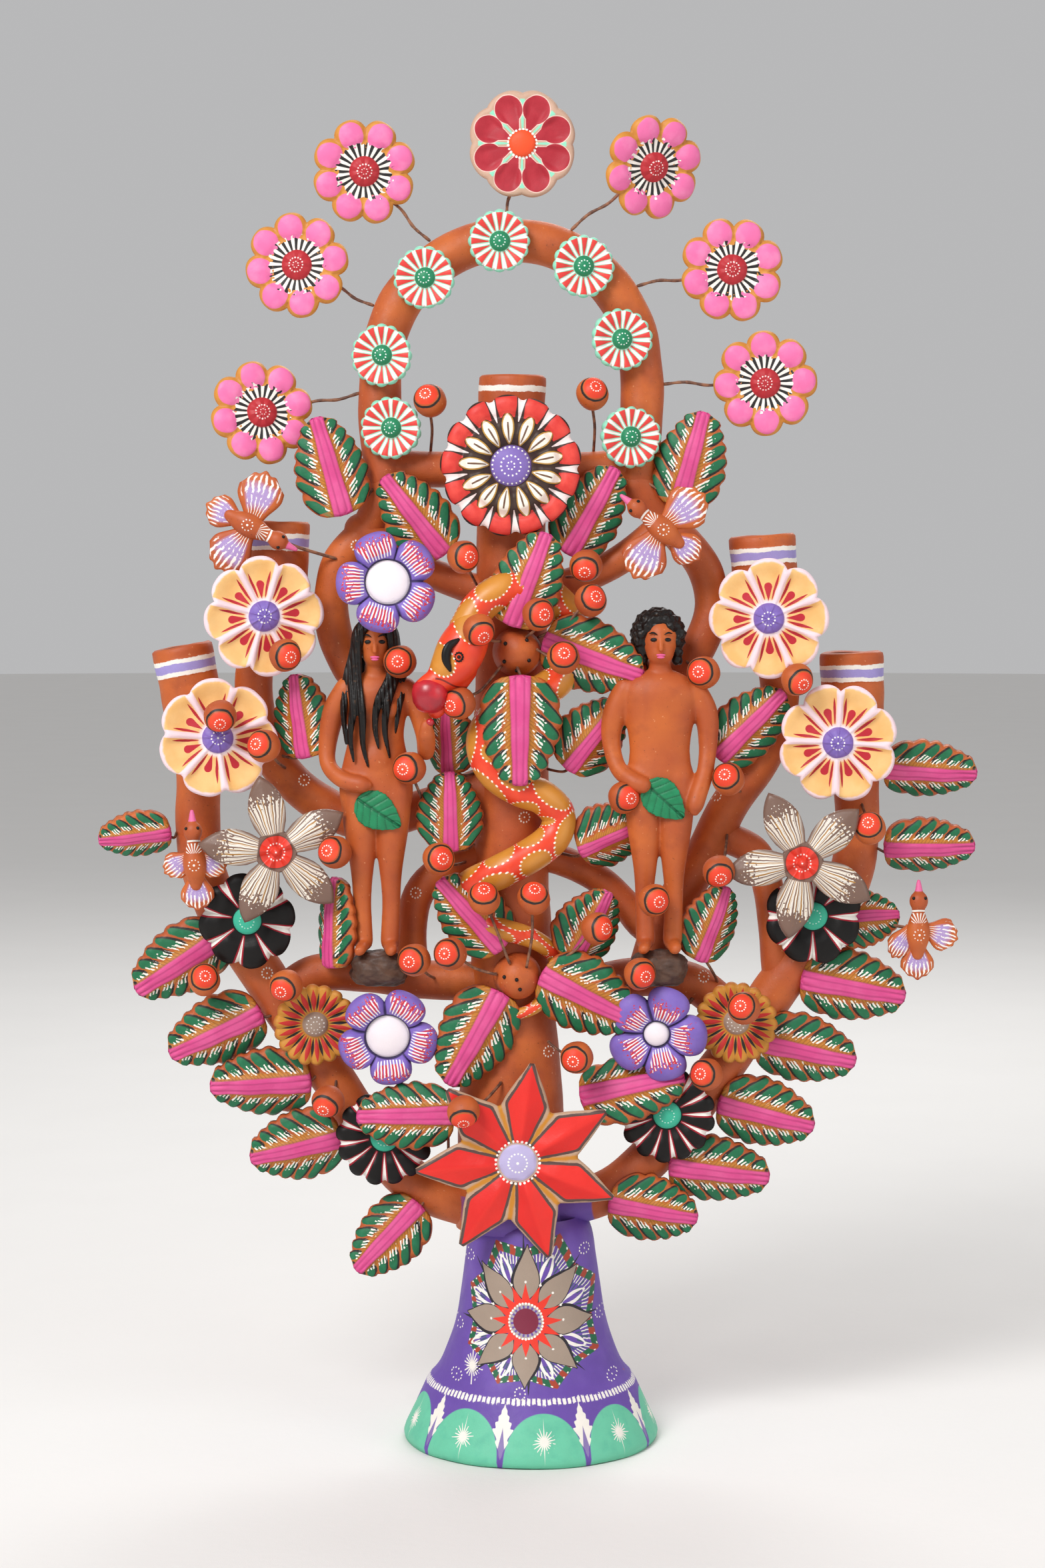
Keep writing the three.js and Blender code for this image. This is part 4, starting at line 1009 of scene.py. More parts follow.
# ---- the seven top flowers ----
# Flat flowers at the tips of bare wires pushed into the arch: the wires spring from the clay and the
# heads nod.
pink_look, top_look = pink_paint(), top_paint()
TOP_FLOWERS = {  # where the wire leaves the clay, middle of the head, turn, lean
    "top": ((-11, 552.3), (-4, 583), 22, (0, 0)),
    "left_high": ((-45.5, 541.7), (-74, 571), 20, (4, 6)),
    "left_mid": ((-70.8, 513), (-104, 530), 9, (0, -4)),
    "left_low": ((-77.2, 474), (-120, 465), 15, (-6, 14)),
    "right_high": ((18.2, 546.6), (54, 573), 12, (16, 22)),
    "right_mid": ((47.7, 521.6), (89, 528), 20, (0, 2)),
    "right_low": ((59.2, 478), (104, 478), 3, (2, -5)),
}
HEAD_Y = -8.1  # the heads stand in front of the arch
for where, ((x, z), (head_x, head_z), turn, lean) in TOP_FLOWERS.items():
    head = f"flower_head_{where}"
    looks = (top_look, top_shape, 0.25) if where == "top" else (pink_look, pink_shape, 0.29)
    blossom(head, looks[0], 8, looks[1], (head_x, HEAD_Y, head_z), turn, lean, looks[2], 12,
            body=f"head_{where}")
    wire = bmesh.new()
    reach = math.hypot(head_x - x, head_z - z)
    out_x, out_z = (head_x - x) / reach, (head_z - z) / reach
    bends = [(0, 0, -0.6), (0.22, 0.9, -0.8), (0.45, -0.5, -1.2), (0.7, 0.8, -1.8), (0.92, 0.1, -3.4),
             (1, 0, -5.2)]
    route = [(x + (head_x - x) * s - out_z * w, y, z + (head_z - z) * s + out_x * w) for s, w, y in bends]
    rod(wire, route, lambda t: 0.72 + 0.2 * noise.noise((t * 14, 0, 0)), 10, 44)
    piece(wire, f"flower_wire_{where}", iron, [f"flower_wire_{where}"], body=f"stalk_{where}")

# ---- the leaves ----
# Slabs of clay pinched to a leaf and pressed with a stick along the midrib and between the lobes, each on
# its own short wire: a grooved pink midrib, ochre beside it, rows of white dabs, and green lobes edged in
# black. Darker lines of painted shade lie in the midrib's grooves and along its sloping edge.
leaf_look = clay_paint("painted_leaf")
along, off_rib, spread = leaf_look.x, abs(leaf_look.y), abs(leaf_look.z)
hand = leaf_look.noise(5, 2) - 0.5
along = along + hand * 1.0
slant = along - off_rib * 0.95
LOBE, CURL = 6.9, 4.4
cell = (slant / LOBE).saw() * LOBE
rib = 3.9 - along * 0.03
ochre_edge = off_rib - rib - 2.7 - (slant * 0.9).sine() * 0.8 - hand * 4
leaf_look.lay(ochre_edge.inside(1.6) * 0.85, "c07d22")
leaf_look.lay(((slant * 4.1 + hand * 3).sine() - 0.35).clear(0, 0.3) * ochre_edge.inside(1.5) * 0.55,
              "8a4d14")
lobes_end = (3 - along).most(along - 39)
black_lobe = ((cell + 1.15) / 2.5).far((spread - 0.69) / 0.285) - 1
green_lobe = ((cell - 0.2) / 2.45).far((spread - 0.71) / 0.265) - 1
leaf_look.lay((black_lobe * 2.2 + hand * 1.4).most(lobes_end).inside(0.3), "1a1712")
leaf_look.lay((green_lobe * 2.2 + hand).most(lobes_end).inside(0.3), "0a6841")
leaf_look.lay((green_lobe * 2.2 + 0.5).inside(0.9) * leaf_look.noise(4, 2).clear(0.5, 0.8) * 0.6, "20855a")
DAB = LOBE / 4
dab = ((slant + leaf_look.noise(2.6) * 1.5) / DAB).saw() * DAB
reach_in = leaf_look.noise(1.3, 0) * 0.3
row = (0.54 - reach_in - spread).most(spread - 0.44 - reach_in)
gap = abs(cell + 0.2) - 2.7
dab_rows = (abs(dab) - 0.43).most(row * 9).most(gap).most(rib + 0.6 - off_rib).most(lobes_end)
leaf_look.lay(dab_rows.inside(0.16), "f4efe4")
leaf_look.lay((off_rib - rib).inside(0.3), "d9478a")
leaf_look.lay((off_rib - rib).inside(0.3) * leaf_look.noise(9, 3).clear(0.4, 0.7) * 0.6, "e5629c")
# darker pink lines in the two stick grooves of the midrib and a dark brown line on its sloping edge:
# painted shade
leaf_look.lay((abs(off_rib - rib * 0.42) - 0.3).inside(0.6) * 0.65, "a92d6b")
leaf_look.lay((abs(off_rib - rib - 0.1) - 0.3).inside(0.5) * 0.4, "7a3420")
leaf_look = leaf_look.finish(fade=0.1, grain=0.35)


def leaf(name, at, heading, long, wide, roll, stands_for):
    """A leaf with its middle at a point, its tip turned to a heading, and rolled on its length."""
    bm = bmesh.new()
    bmesh.ops.create_grid(bm, x_segments=34, y_segments=22, size=1)
    flat = bm.verts.layers.float_vector.new("flat")
    for vert in bm.verts:
        u, side = (vert.co.x + 1) / 2, vert.co.y
        length = u * 40
        half = 3.8 + (wide / 2 * 40 / long - 3.8) * math.sin(math.pi * min(1, max(0, u)) ** 0.74) ** 0.72
        close = max(0, abs(u - 0.5) - 0.42) / 0.08
        half *= math.sqrt(1 - 0.93 * min(1, close) ** 2)
        across = abs(side) * half
        slanted = (length - across * 0.95) / LOBE
        lobe = abs(2 * (slanted - math.floor(slanted)) - 1)
        edge = rise(abs(side), 0.5, 1)
        across += 0.9 * (1 - lobe ** 2 * 1.6) * edge
        rib_half = 3.9 - length * 0.03
        height = -0.016 * across ** 2 - 0.8 * lobe ** 4 * rise(across, rib_half, rib_half + 2)
        height += 1.7 * (1 - rise(across, rib_half - 0.6, rib_half + 0.7))
        height -= 0.8 * math.exp(-((across - rib_half * 0.42) / 0.6) ** 2)
        height -= CURL * abs(u - 0.45) ** 2 + 0.9 * rise(abs(side), 0.9, 1)
        height -= 0.8 * rise(abs(u - 0.5), 0.46, 0.5)
        vert[flat] = (length, across * (1 if side > 0 else -1), side)
        grow = long / 40
        vert.co = ((length - 20) * grow, across * grow * (1 if side > 0 else -1), height * grow)
    bmesh.ops.solidify(bm, geom=bm.faces[:], thickness=2.4)
    pinched(bm, 0.6, 10)
    stand = Matrix.Rotation(math.radians(90), 4, "X") @ Matrix.Rotation(math.radians(heading), 4, "Z")
    stand = stand @ Matrix.Rotation(math.radians(roll), 4, "X")
    bmesh.ops.transform(bm, matrix=Matrix.Translation(at) @ stand, verts=bm.verts)
    piece(bm, name, leaf_look, stands_for)


LEAVES = {  # middle, heading, length, width, roll; wire's foot in the clay
    "leaf_01": ((-89, -18.5, 441), 106, 45, 31, 6, (-70, -6, 432)),
    "leaf_02": ((-52, -17, 419), 128, 44, 29, -8, (-60, -6, 428)),
    "leaf_03": ((27, -17, 421), 61, 44, 29, 8, (40, -6, 430)),
    "leaf_04": ((71, -13, 444), 75, 44, 31, -6, (52, -7, 434)),
    "leaf_05": ((-1, -32, 391), 69, 44, 30, 0, (-6, -14, 372)),
    "leaf_06": ((27, -27, 356), -20, 47, 32, 10, (3, -20, 360)),
    "leaf_07": ((-5, -37, 325), -90, 49, 35, 0, (-6, -30, 352)),
    "leaf_08": ((28, -20, 321), 52, 38, 30, 14, (8, -10, 306)),
    "leaf_09": ((36, -20, 276), 25, 32, 30, 20, (14, -8, 268)),
    "leaf_10": ((-36, -23, 288), 91, 36, 29, 4, (-26, -10, 272)),
    "leaf_11": ((-38, -10, 320), 92, 33, 24, -30, (-26, -6, 304)),
    "leaf_12": ((-27, -26, 242), 132, 42, 29, -4, (-18, -16, 224)),
    "leaf_13": ((27, -23, 236), 62, 36, 30, 22, (12, -14, 222)),
    "leaf_14": ((-25, -29, 187), -119, 48, 33, -6, (-12, -20, 206)),
    "leaf_15": ((25, -29, 205), -27, 47, 34, 6, (4, -22, 212)),
    "leaf_17": ((-104, -17, 330), 97, 38, 28, -24, (-112, -7, 312)),
    "leaf_18": ((-90, -20, 238), 87, 41, 25, -52, (-84, -6, 222)),
    "leaf_19": ((-158, -11, 218), 213, 47, 31, -14, (-132, -4, 226)),
    "leaf_20": ((-142, -11, 186), 205, 46, 31, -14, (-114, -4, 198)),
    "leaf_21": ((-122, -12, 163), 183, 46, 31, -14, (-96, -5, 172)),
    "leaf_22": ((-106, -12, 134), 193, 43, 32, -10, (-76, -5, 140)),
    "leaf_23": ((-56, -29, 152.5), 181, 44, 29, 8, (-40, -4, 118)),
    "leaf_24": ((-65, -13, 94), 227, 42, 29, 10, (-48, -5, 114)),
    "leaf_25": ((98, -17, 326), 45, 42, 28, 6, (108, -7, 316)),
    "leaf_28": ((150, -11, 240), 4, 32, 26, -20, (136, -4, 240)),
    "leaf_29": ((145, -11, 207), -10, 48, 32, 10, (118, -4, 214)),
    "leaf_30": ((82, -19, 237), 70, 36, 27, 26, (84, -6, 210)),
    "leaf_31": ((124, -11, 178), -12, 46, 31, 12, (98, -4, 186)),
    "leaf_32": ((106, -11, 149), -14, 45, 31, 10, (80, -4, 162)),
    "leaf_33": ((85, -11, 123), -7, 46, 30, 12, (58, -5, 132)),
    "leaf_34": ((55, -15, 106), -10, 41, 30, 8, (34, -5, 114)),
    "leaf_35": ((45, -22.5, 165), 12, 48, 29, -24, (62, -5, 140)),
    "leaf_outer_left": ((-178, -11, 275), 187, 33, 22, -26, (-160, -3, 277)),
    "leaf_outer_right_high": ((179, -10, 304), -3, 42, 27, 26, (156, -3, 306)),
    "leaf_outer_right_low": ((179, -10, 270), 1, 41, 26, 24, (156, -3, 270)),
}
wires = bmesh.new()
for leaf_name, (at, heading, long, wide, roll, foot) in LEAVES.items():
    stood_for = [leaf_name] if leaf_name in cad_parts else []
    leaf(leaf_name, at, heading, long, wide, roll, stood_for)
    a = math.radians(heading)
    heel = Vector(at) - Vector((math.cos(a), 0, math.sin(a))) * long * 0.42 + Vector((0, 1.5, 0))
    sag = (heel + Vector(foot)) / 2 + Vector((1.4, -1.0, -1.8))
    rod(wires, [heel, sag, Vector(foot), Vector(foot) + Vector((0, 2.5, 0))], 0.65, 8, 14)

# ---- the berries ----
# Balls of clay on wires: an orange-red cap with a black line round it, and a ring of white dots on the cap.
berry_look = clay_paint("painted_berry")
polar_way = berry_look.x.far(berry_look.y)
tilt_angle = polar_way.math("ARCTAN2", berry_look.z) * 7.6
uneven = berry_look.noise(6) * 1.6
berry_look.lay((abs(tilt_angle - 8.0 + uneven) - 0.62).inside(0.25), "1f1815")
berry_look.lay((tilt_angle - 6.7 + uneven).inside(0.3), "e63d1d")
berry_look.lay((tilt_angle - 5.8).inside(0.3) * berry_look.noise(6).clear(0.5, 0.8) * 0.5, "f2643a")
ring_dots = berry_look.dots(tilt_angle, 13, 2.5, 0.34).least(tilt_angle - 0.45)
berry_look.lay(ring_dots.inside(0.12), "f8efe6")
berry_look = berry_look.finish(fade=0.08, grain=0.2)

BERRY_R = 7.3
BERRIES = [  # middle; which way the cap looks (right, up, towards the front is the rest); wire's foot
    ((-30, -33, 401), (0.55, 0.0), (-24, -10, 388)), ((24, -27, 397), (-0.1, -0.45), (16, -12, 392)),
    ((26, -32, 382), (0.4, 0.3), (4, -24, 366)), ((3, -40, 376), (0.45, 0.0), (-2, -28, 366)),
    ((-23, -42, 369), (0.4, -0.5), (-14, -28, 364)), ((14, -38, 357), (0.05, 0.35), (3, -28, 360)),
    ((47, -14, 350), (-0.2, 0.2), (60, -8, 348)), ((-32, -37, 337), (-0.6, -0.15), (-14, -28, 352)),
    ((-108, -37, 358), (0.5, -0.1), (-116, -14, 352)), ((-137, -34, 331), (0.1, -0.5), (-146, -12, 322)),
    ((-118, -33, 318), (-0.5, 0.2), (-110, -6, 306)), ((-58, -30, 355), (-0.1, 0.05), (-74, -8, 350)),
    ((76, -26, 350), (-0.4, 0.1), (70, -8, 354)), ((117, -32, 347), (0.4, -0.3), (112, -9, 352)),
    ((87, -28, 303), (-0.3, 0.4), (94, -8, 296)), ((-54, -31, 308), (-0.4, 0.0), (-47, -12, 288)),
    ((-87, -33, 271), (-0.5, 0.2), (-92, -6, 286)), ((41, -30, 295), (0.5, 0.0), (28, -10, 284)),
    ((150, -26, 281), (-0.2, 0.5), (148, -8, 292)), ((-41, -33, 268), (0.35, 0.1), (-30, -8, 264)),
    ((-21, -38, 251), (0.05, 0.9), (-10, -30, 222)), ((1, -37, 251), (0.1, 0.9), (-2, -30, 220)),
    ((54, -37, 250), (0.35, 0.0), (48, -8, 240)), ((83, -30, 262), (0.1, -0.4), (88, -8, 276)),
    ((29, -33, 237), (0.75, 0.1), (8, -26, 220)), ((-52, -33, 223), (-0.3, 0.0), (-44, -10, 212)),
    ((-36, -35, 226), (-0.35, 0.15), (-16, -28, 216)), ((48, -35, 217), (0.4, -0.05), (40, -10, 208)),
    ((-146, -24, 213), (0.2, 0.4), (-134, -8, 222)), ((-109, -30, 211), (-0.3, -0.3), (-108, -10, 205)),
    ((94, -36, 202), (-0.3, 0.3), (90, -10, 196)), ((78, -28, 171), (-0.5, 0.2), (82, -8, 166)),
    ((20, -37, 180), (-0.25, -0.1), (8, -20, 184)), ((-91, -24, 158), (-0.3, -0.5), (-88, -8, 166)),
    ((-30, -44, 157), (0.05, -0.9), (-14, -24, 166)), ((-45, -15, 470), (-0.3, 0.5), (-45, 0, 449)),
    ((27, -15, 473), (0.25, 0.5), (28, 0, 449)),
]
for number, (at, (right, up), foot) in enumerate(BERRIES, 1):
    bm = bmesh.new()
    bmesh.ops.create_uvsphere(bm, u_segments=30, v_segments=18, radius=BERRY_R)
    flat = bm.verts.layers.float_vector.new("flat")
    for vert in bm.verts:
        vert[flat] = vert.co
    pinched(bm, 0.7, 8)
    looks = Vector((right, -1, up)).normalized().to_track_quat("Z", "Y")
    bmesh.ops.rotate(bm, matrix=looks.to_matrix(), verts=bm.verts)
    bmesh.ops.translate(bm, vec=at, verts=bm.verts)
    piece(bm, f"berry_{number:02d}", berry_look)
    start, end = Vector(at) + Vector((0, 5, 0)), Vector(foot)
    bow = (start + end) / 2 + Vector((0.8, -0.5, -2.0))
    bent = start.lerp(end, 0.2) + Vector((0, 0.5, -0.4))
    rod(wires, [start, bent, bow, end, end + Vector((0, 3, 0))], 0.65, 8, 18)

# short wires behind the fixed flowers, pushed into the bar behind each
FLOWER_FEET = {"centre_flower": (-9, -8, 441), "poinsettia": (-6, -17, 134),
               "star_flower_left": (-143, -6, 271), "purple_flower_upper": (-63, -2, 403),
               "purple_flower_left": (-82, -6, 179), "purple_flower_right": (73, -6, 202),
               "cream_flower_middle_left": (-115, -12, 375), "cream_flower_outer_left": (-148, -10, 321),
               "cream_flower_middle_right": (105, -12, 374), "cream_flower_outer_right": (145, -11, 319),
               "star_flower_right": (105, -4, 260), "black_flower_left": (-140, -7, 239),
               "black_flower_right": (138, -7, 241), "black_flower_lower_left": (-72, -7, 137),
               "black_flower_lower_right": (69, -7, 145), "daisy_left": (-108, -7, 192),
               "daisy_right": (101, -7, 193)}
for flower, foot in FLOWER_FEET.items():
    low, high = (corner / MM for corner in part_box(flower))
    heart = Vector(((low.x + high.x) / 2, low.y + 7, (low.z + high.z) / 2))
    rod(wires, [heart, heart.lerp(Vector(foot), 0.5) + Vector((0, 0, -1.0)), Vector(foot)], 0.9, 8, 10)
piece(wires, "short_wires", iron)

# ---- the serpent and its apple ----
# A thick roll of clay wound round the trunk, painted orange-red with ochre spots ringed by white dots;
# its broad head comes down on the left under a black crest and holds a crimson apple out to the woman.
SERPENT = [(-29, -32, 369), (-23, -30, 379), (-11, -27.5, 387), (4, -22, 386), (15, -15, 377),
           (17, -14, 362), (12, -19, 347), (-2, -25.5, 338), (-16, -26, 330), (-21.5, -25, 318),
           (-16.5, -25.5, 306), (-6, -25, 298.5), (5, -23.5, 294.5), (12, -20, 286), (9.5, -21, 276.5),
           (-1, -24.5, 268.5), (-13, -25.5, 262), (-27, -19, 255), (-33, -3, 247), (-29, -15, 240),
           (-14, -24, 236), (1, -22, 231), (11, -17, 222), (10, -18, 210), (1, -23, 200), (-12, -23, 196)]
SERPENT_R = 7.7
serpent_look = Paint("serpent_skin", "e23a1a", rough=0.42, coat=0.15)
serpent_look.lay(serpent_look.noise(9, 3).clear(0.45, 0.7) * 0.6, "f05424")


def spots(paint, along, across, long, wide, dab=0.4):
    """Ochre spots ringed with white dots."""
    out = (along / long).far(across / wide)
    paint.lay(((out - 1) * 5).inside(0.3), "c97f22")
    paint.lay(((out - 0.72) * 5).inside(1.6) * 0.5, "d8953c")
    turn_of = (across / wide).math("ARCTAN2", along / long)
    count = 22
    side = turn_of.parts(count) * (math.pi * (long + wide) / count)
    off = (out - 1) * ((long + wide) / 2)
    paint.lay((side.far(off) - dab - paint.noise(1.2) * 0.15).inside(0.12), "f8f1e2")


way_round = serpent_look.z.math("ARCTAN2", serpent_look.y) * (3 / 2 / math.pi) + 8.83
row = way_round.floor()
SPOT_PITCH = 17.5
spot_along = (serpent_look.x / SPOT_PITCH + row / 3
              + (serpent_look.noise(20) - 0.5) * 0.5).saw() * SPOT_PITCH
spots(serpent_look, spot_along, way_round.saw() * (2 * math.pi * SERPENT_R / 3), 7.9, 7.0)
serpent_body = bmesh.new()
rod(serpent_body, SERPENT, lambda t: SERPENT_R * (1 if t < 0.62 else 1 - 0.72 * ((t - 0.62) / 0.38)),
    sides=26, rings=190)
pinched(serpent_body, 0.4, 14)
piece(serpent_body, "serpent_body", serpent_look.finish(fade=0.08, grain=0.15), ["serpent"])


def fused(bm, voxel=0.8, rubbed=8):
    """Presses the parts of a bmesh into one skin and rubs it smooth."""
    mesh = bpy.data.meshes.new("lump")
    bm.to_mesh(mesh)
    bm.free()
    lump = bpy.data.objects.new("lump", mesh)
    scene.collection.objects.link(lump)
    skin = lump.modifiers.new("skin", "REMESH")
    skin.mode, skin.voxel_size = "VOXEL", voxel
    rub = lump.modifiers.new("rub", "SMOOTH")
    rub.iterations, rub.factor = rubbed, 0.5
    made = bpy.data.meshes.new_from_object(lump.evaluated_get(bpy.context.evaluated_depsgraph_get()))
    bpy.data.objects.remove(lump)
    bpy.data.meshes.remove(mesh)
    out = bmesh.new()
    out.from_mesh(made)
    bpy.data.meshes.remove(made)
    return out


def ball(bm, at, radii, turn=(0, 0, 0)):
    """An egg of clay with three radii, turned by degrees about X, Y and Z."""
    made = bmesh.ops.create_uvsphere(bm, u_segments=24, v_segments=16, radius=1)["verts"]
    spin = Matrix.Rotation(math.radians(turn[2]), 4, "Z") @ Matrix.Rotation(math.radians(turn[1]), 4, "Y")
    spin = spin @ Matrix.Rotation(math.radians(turn[0]), 4, "X")
    bmesh.ops.transform(bm, matrix=Matrix.Translation(at) @ spin @ Matrix.Diagonal((*radii, 1)), verts=made)
    return made


head = bmesh.new()
rod(head, [(-25, -32, 373), (-29, -34, 364), (-34, -36, 355), (-40, -38, 348), (-46, -40, 344)],
    lambda t: 7.6 + 3.6 * math.sin(math.pi * min(1, t * 1.15)) - 2.4 * t * t, 26, 24)
rod(head, [(-30, -32, 352), (-36, -34, 342), (-42, -36, 334)], lambda t: 6.6 - 2.6 * t, 20, 14)
ball(head, (-33.5, -44.5, 357.5), (2.6, 1.8, 2.6))
head = fused(head, 0.9, 6)
head_look = Paint("serpent_head", "e23a1a", rough=0.42, coat=0.15)
head_look.lay(head_look.noise(9, 3).clear(0.45, 0.7) * 0.6, "f05424")
for x, z, long, wide in ((-27, 371, 9.0, 6.0), (-40, 356.5, 8.4, 5.8)):
    right, up = head_look.x - x, head_look.z - z
    spots(head_look, right * 0.8 + up * 0.6, up * 0.8 - right * 0.6, wide, long)
mouth = abs(head_look.z - 346.0 + (head_look.x + 36) * 0.35
            + ((head_look.x + 36) * 0.5).sine() * 0.5) - 0.45
head_look.lay(mouth.most(-42 - head_look.x).most(head_look.x + 25).inside(0.3) * 0.9, "6e1610")
flat = head.verts.layers.float_vector.new("flat")
for v in head.verts:
    v[flat] = v.co
piece(head, "serpent_head", head_look.finish(fade=0.08, grain=0.15))

crest = bmesh.new()
rod(crest, [(-35.5, -46.2, 352), (-37.2, -46.6, 357), (-36, -46.2, 362), (-32, -44.6, 365)],
    lambda t: 0.9 + 1.5 * math.sin(math.pi * t) ** 0.8, 14, 22, flatten=0.7)
for angle in range(0, 360, 30):
    a = math.radians(angle)
    ball(crest, (-31.6 + 1.7 * math.cos(a), -45.8, 357.6 + 1.9 * math.sin(a)), (0.5, 0.4, 0.5))
ball(crest, (-31.6, -46.2, 357.6), (0.8, 0.5, 0.8))
piece(crest, "serpent_crest_and_eye", black_glaze)

apple_look = Paint("crimson_apple", "a51226", rough=0.32, coat=0.4)
apple_look.lay(apple_look.noise(7, 3).clear(0.42, 0.65), "c81f2c")
apple = bmesh.new()
turned(apple, [(0, 6.4), (1.2, 6.1), (2.6, 7.0), (5.2, 7.0), (7.4, 4.6), (8, 1), (7.4, -3), (5.4, -6.2),
               (3, -7.6), (1.4, -7.4), (0, -7.0)], 32)
bmesh.ops.translate(apple, vec=(-44.5, -39, 340.5), verts=apple.verts)
piece(apple, "apple", apple_look.finish(fade=0.1, grain=0.1), ["apple"])

# ---- the rocks ----
# Two rough lumps of clay on the lower bars, daubed dark brown, for the figures to stand on.
rock_look = Paint("brown_rock", "4b3226", rough=0.6)
rock_look.lay(rock_look.noise(6, 5).clear(0.4, 0.65), "5c4031")
rock_look.lay(rock_look.noise(2.2, 3).clear(0.6, 0.75) * 0.6, "33251f")
rock_look = rock_look.finish(fade=0.2, grain=0.6)
for who, at in (("woman", (-68, -20, 217.5)), ("man", (57, -21, 218))):
    bm = bmesh.new()
    lump = bmesh.ops.create_icosphere(bm, subdivisions=5, radius=1)["verts"]
    for v in lump:
        square = 0.96 + 0.24 * (abs(v.co.x) + abs(v.co.y) + abs(v.co.z) - 1.2)
        rough = 1 + 0.14 * noise.noise(v.co * 2.1 + Vector(at)) + 0.05 * noise.noise(v.co * 6)
        v.co = Vector((v.co.x * 13.2, v.co.y * 11.5, v.co.z * 8.2)) * square * rough
    bmesh.ops.translate(bm, vec=at, verts=bm.verts)
    piece(bm, f"rock_{who}", rock_look, [f"rock_{who}"])

# ---- the woman and the man ----
# Two slim hand-modelled figures of bare clay, rubbed smooth: doll faces with painted brows, eyes and pink
# lips, black hair, and a green leaf pressed on in front.
skin_look = clay_paint("figure_clay").finish(fade=0.06, grain=0.2)
FEET = {"woman": Vector((-69, -21, 224.8)), "man": Vector((57, -23, 225.8))}


def limbs(bm, torso, swells, arms, wide, hip):
    """A body: half-widths and heights of the torso, swellings, paths of the arms and their thickness, and
    how far apart the legs start."""
    fine = smooth_path([(0, 0, 60), (9, 0, 61), *[(r, 0, z) for r, z in torso]], 30)
    turned(bm, [(max(0, p.x), p.z) for p in fine], 36)
    bmesh.ops.scale(bm, vec=(1, 0.56, 1), verts=bm.verts)
    for at, radii in swells:
        ball(bm, at, radii)
    for side in (-1, 1):
        leg = [(hip * side, 0.5, 78), (6.8 * side, -0.8, 58), (6.4 * side, -0.6, 40), (6.5 * side, 1.2, 22),
               (6 * side, 0.6, 5)]
        rod(bm, leg, lambda t: 8.4 - 4.6 * t + 0.9 * math.sin(t * 7), 20, 30)
        rod(bm, [(6 * side, 2.5, 3.2), (6.3 * side, -3, 3.2), (7 * side, -8.5, 2.2)],
            lambda t: 3.6 - 0.5 * t, 16, 10, flatten=0.8)
    for points in arms:
        rod(bm, points, lambda t: wide * (1.05 - 0.38 * t) + 0.4 * math.sin(t * 8), 18, 30)
    rod(bm, [(0, 0.5, 118), (0, 0.2, 124), (0, -0.4, 131)], lambda t: 5.6 - 1.0 * t, 20, 8)


def doll_head(bm, wide):
    """An egg head with a straight nose, cheeks and chin."""
    ball(bm, (0, 0, 138.5), (wide, 8.4, 9.6))
    ball(bm, (0, -2.4, 133.2), (wide * 0.78, 5.8, 6.2))
    rod(bm, [(0, -7.7, 140.6), (0, -9.0, 137.4), (0, -9.9, 134.9)], lambda t: 0.85 + 0.5 * t, 12, 8)
    ball(bm, (0, -7.4, 131.6), (2.6, 1.6, 1.2))


def doll_paint(who, feet):
    """Brows and eyes in black and the lips in pink, laid as small thin dabs."""
    marks = bmesh.new()
    for side in (-1, 1):
        rod(marks, [(1.7 * side, -8.35, 141.2), (3.4 * side, -8.1, 142.0), (5.0 * side, -6.9, 141.5)],
            lambda t: 0.42 * math.sin(math.pi * (0.15 + 0.7 * t)), 8, 8)
        ball(marks, (3.2 * side, -7.95, 138.9), (1.5, 0.5, 0.85), (0, 4 * side, 18 * side))
    bmesh.ops.translate(marks, vec=feet, verts=marks.verts)
    piece(marks, f"{who}_brows_and_eyes", black_glaze)
    lips = bmesh.new()
    ball(lips, (0, -8.85, 132.2), (2.1, 0.7, 0.55))
    ball(lips, (0, -8.75, 131.2), (1.7, 0.75, 0.62))
    bmesh.ops.translate(lips, vec=feet, verts=lips.verts)
    piece(lips, f"{who}_lips", lip_look)


lip_look = Paint("pink_lips", "dd5c8e", rough=0.5).finish()
WOMAN_TORSO = [(15.4, 66), (16.4, 76), (14.6, 86), (12.4, 97), (14, 108), (15.4, 115), (13.4, 120),
               (8, 124), (0, 127)]
WOMAN_SWELLS = [((-6, -5.0, 109.5), (5.2, 4.6, 5.2)), ((6, -5.0, 109.5), (5.2, 4.6, 5.2)),
                ((0, -3.0, 86), (9, 6.2, 9))]
WOMAN_ARMS = [  # one down over the leaf, one held out towards the apple
    [(-13, 0.5, 118), (-18.5, 1, 108), (-21.5, 1, 94), (-21, -2, 84), (-14.5, -8, 78), (-6, -11, 76)],
    [(13, 0.5, 118), (18.5, 1, 110), (21.5, 0, 98), (22, -4, 90), (23, -11, 93), (23, -17, 99)],
]
woman = bmesh.new()
limbs(woman, WOMAN_TORSO, WOMAN_SWELLS, WOMAN_ARMS, 5.0, 7.6)
ball(woman, (-4.5, -11.2, 76), (3.6, 2.0, 2.4))
ball(woman, (23, -18.5, 101.5), (3.0, 2.6, 4.0))
doll_head(woman, 7.4)
woman = fused(woman, 0.75)
bmesh.ops.translate(woman, vec=FEET["woman"], verts=woman.verts)
piece(woman, "woman", skin_look, ["woman_figure"])
doll_paint("woman", FEET["woman"])

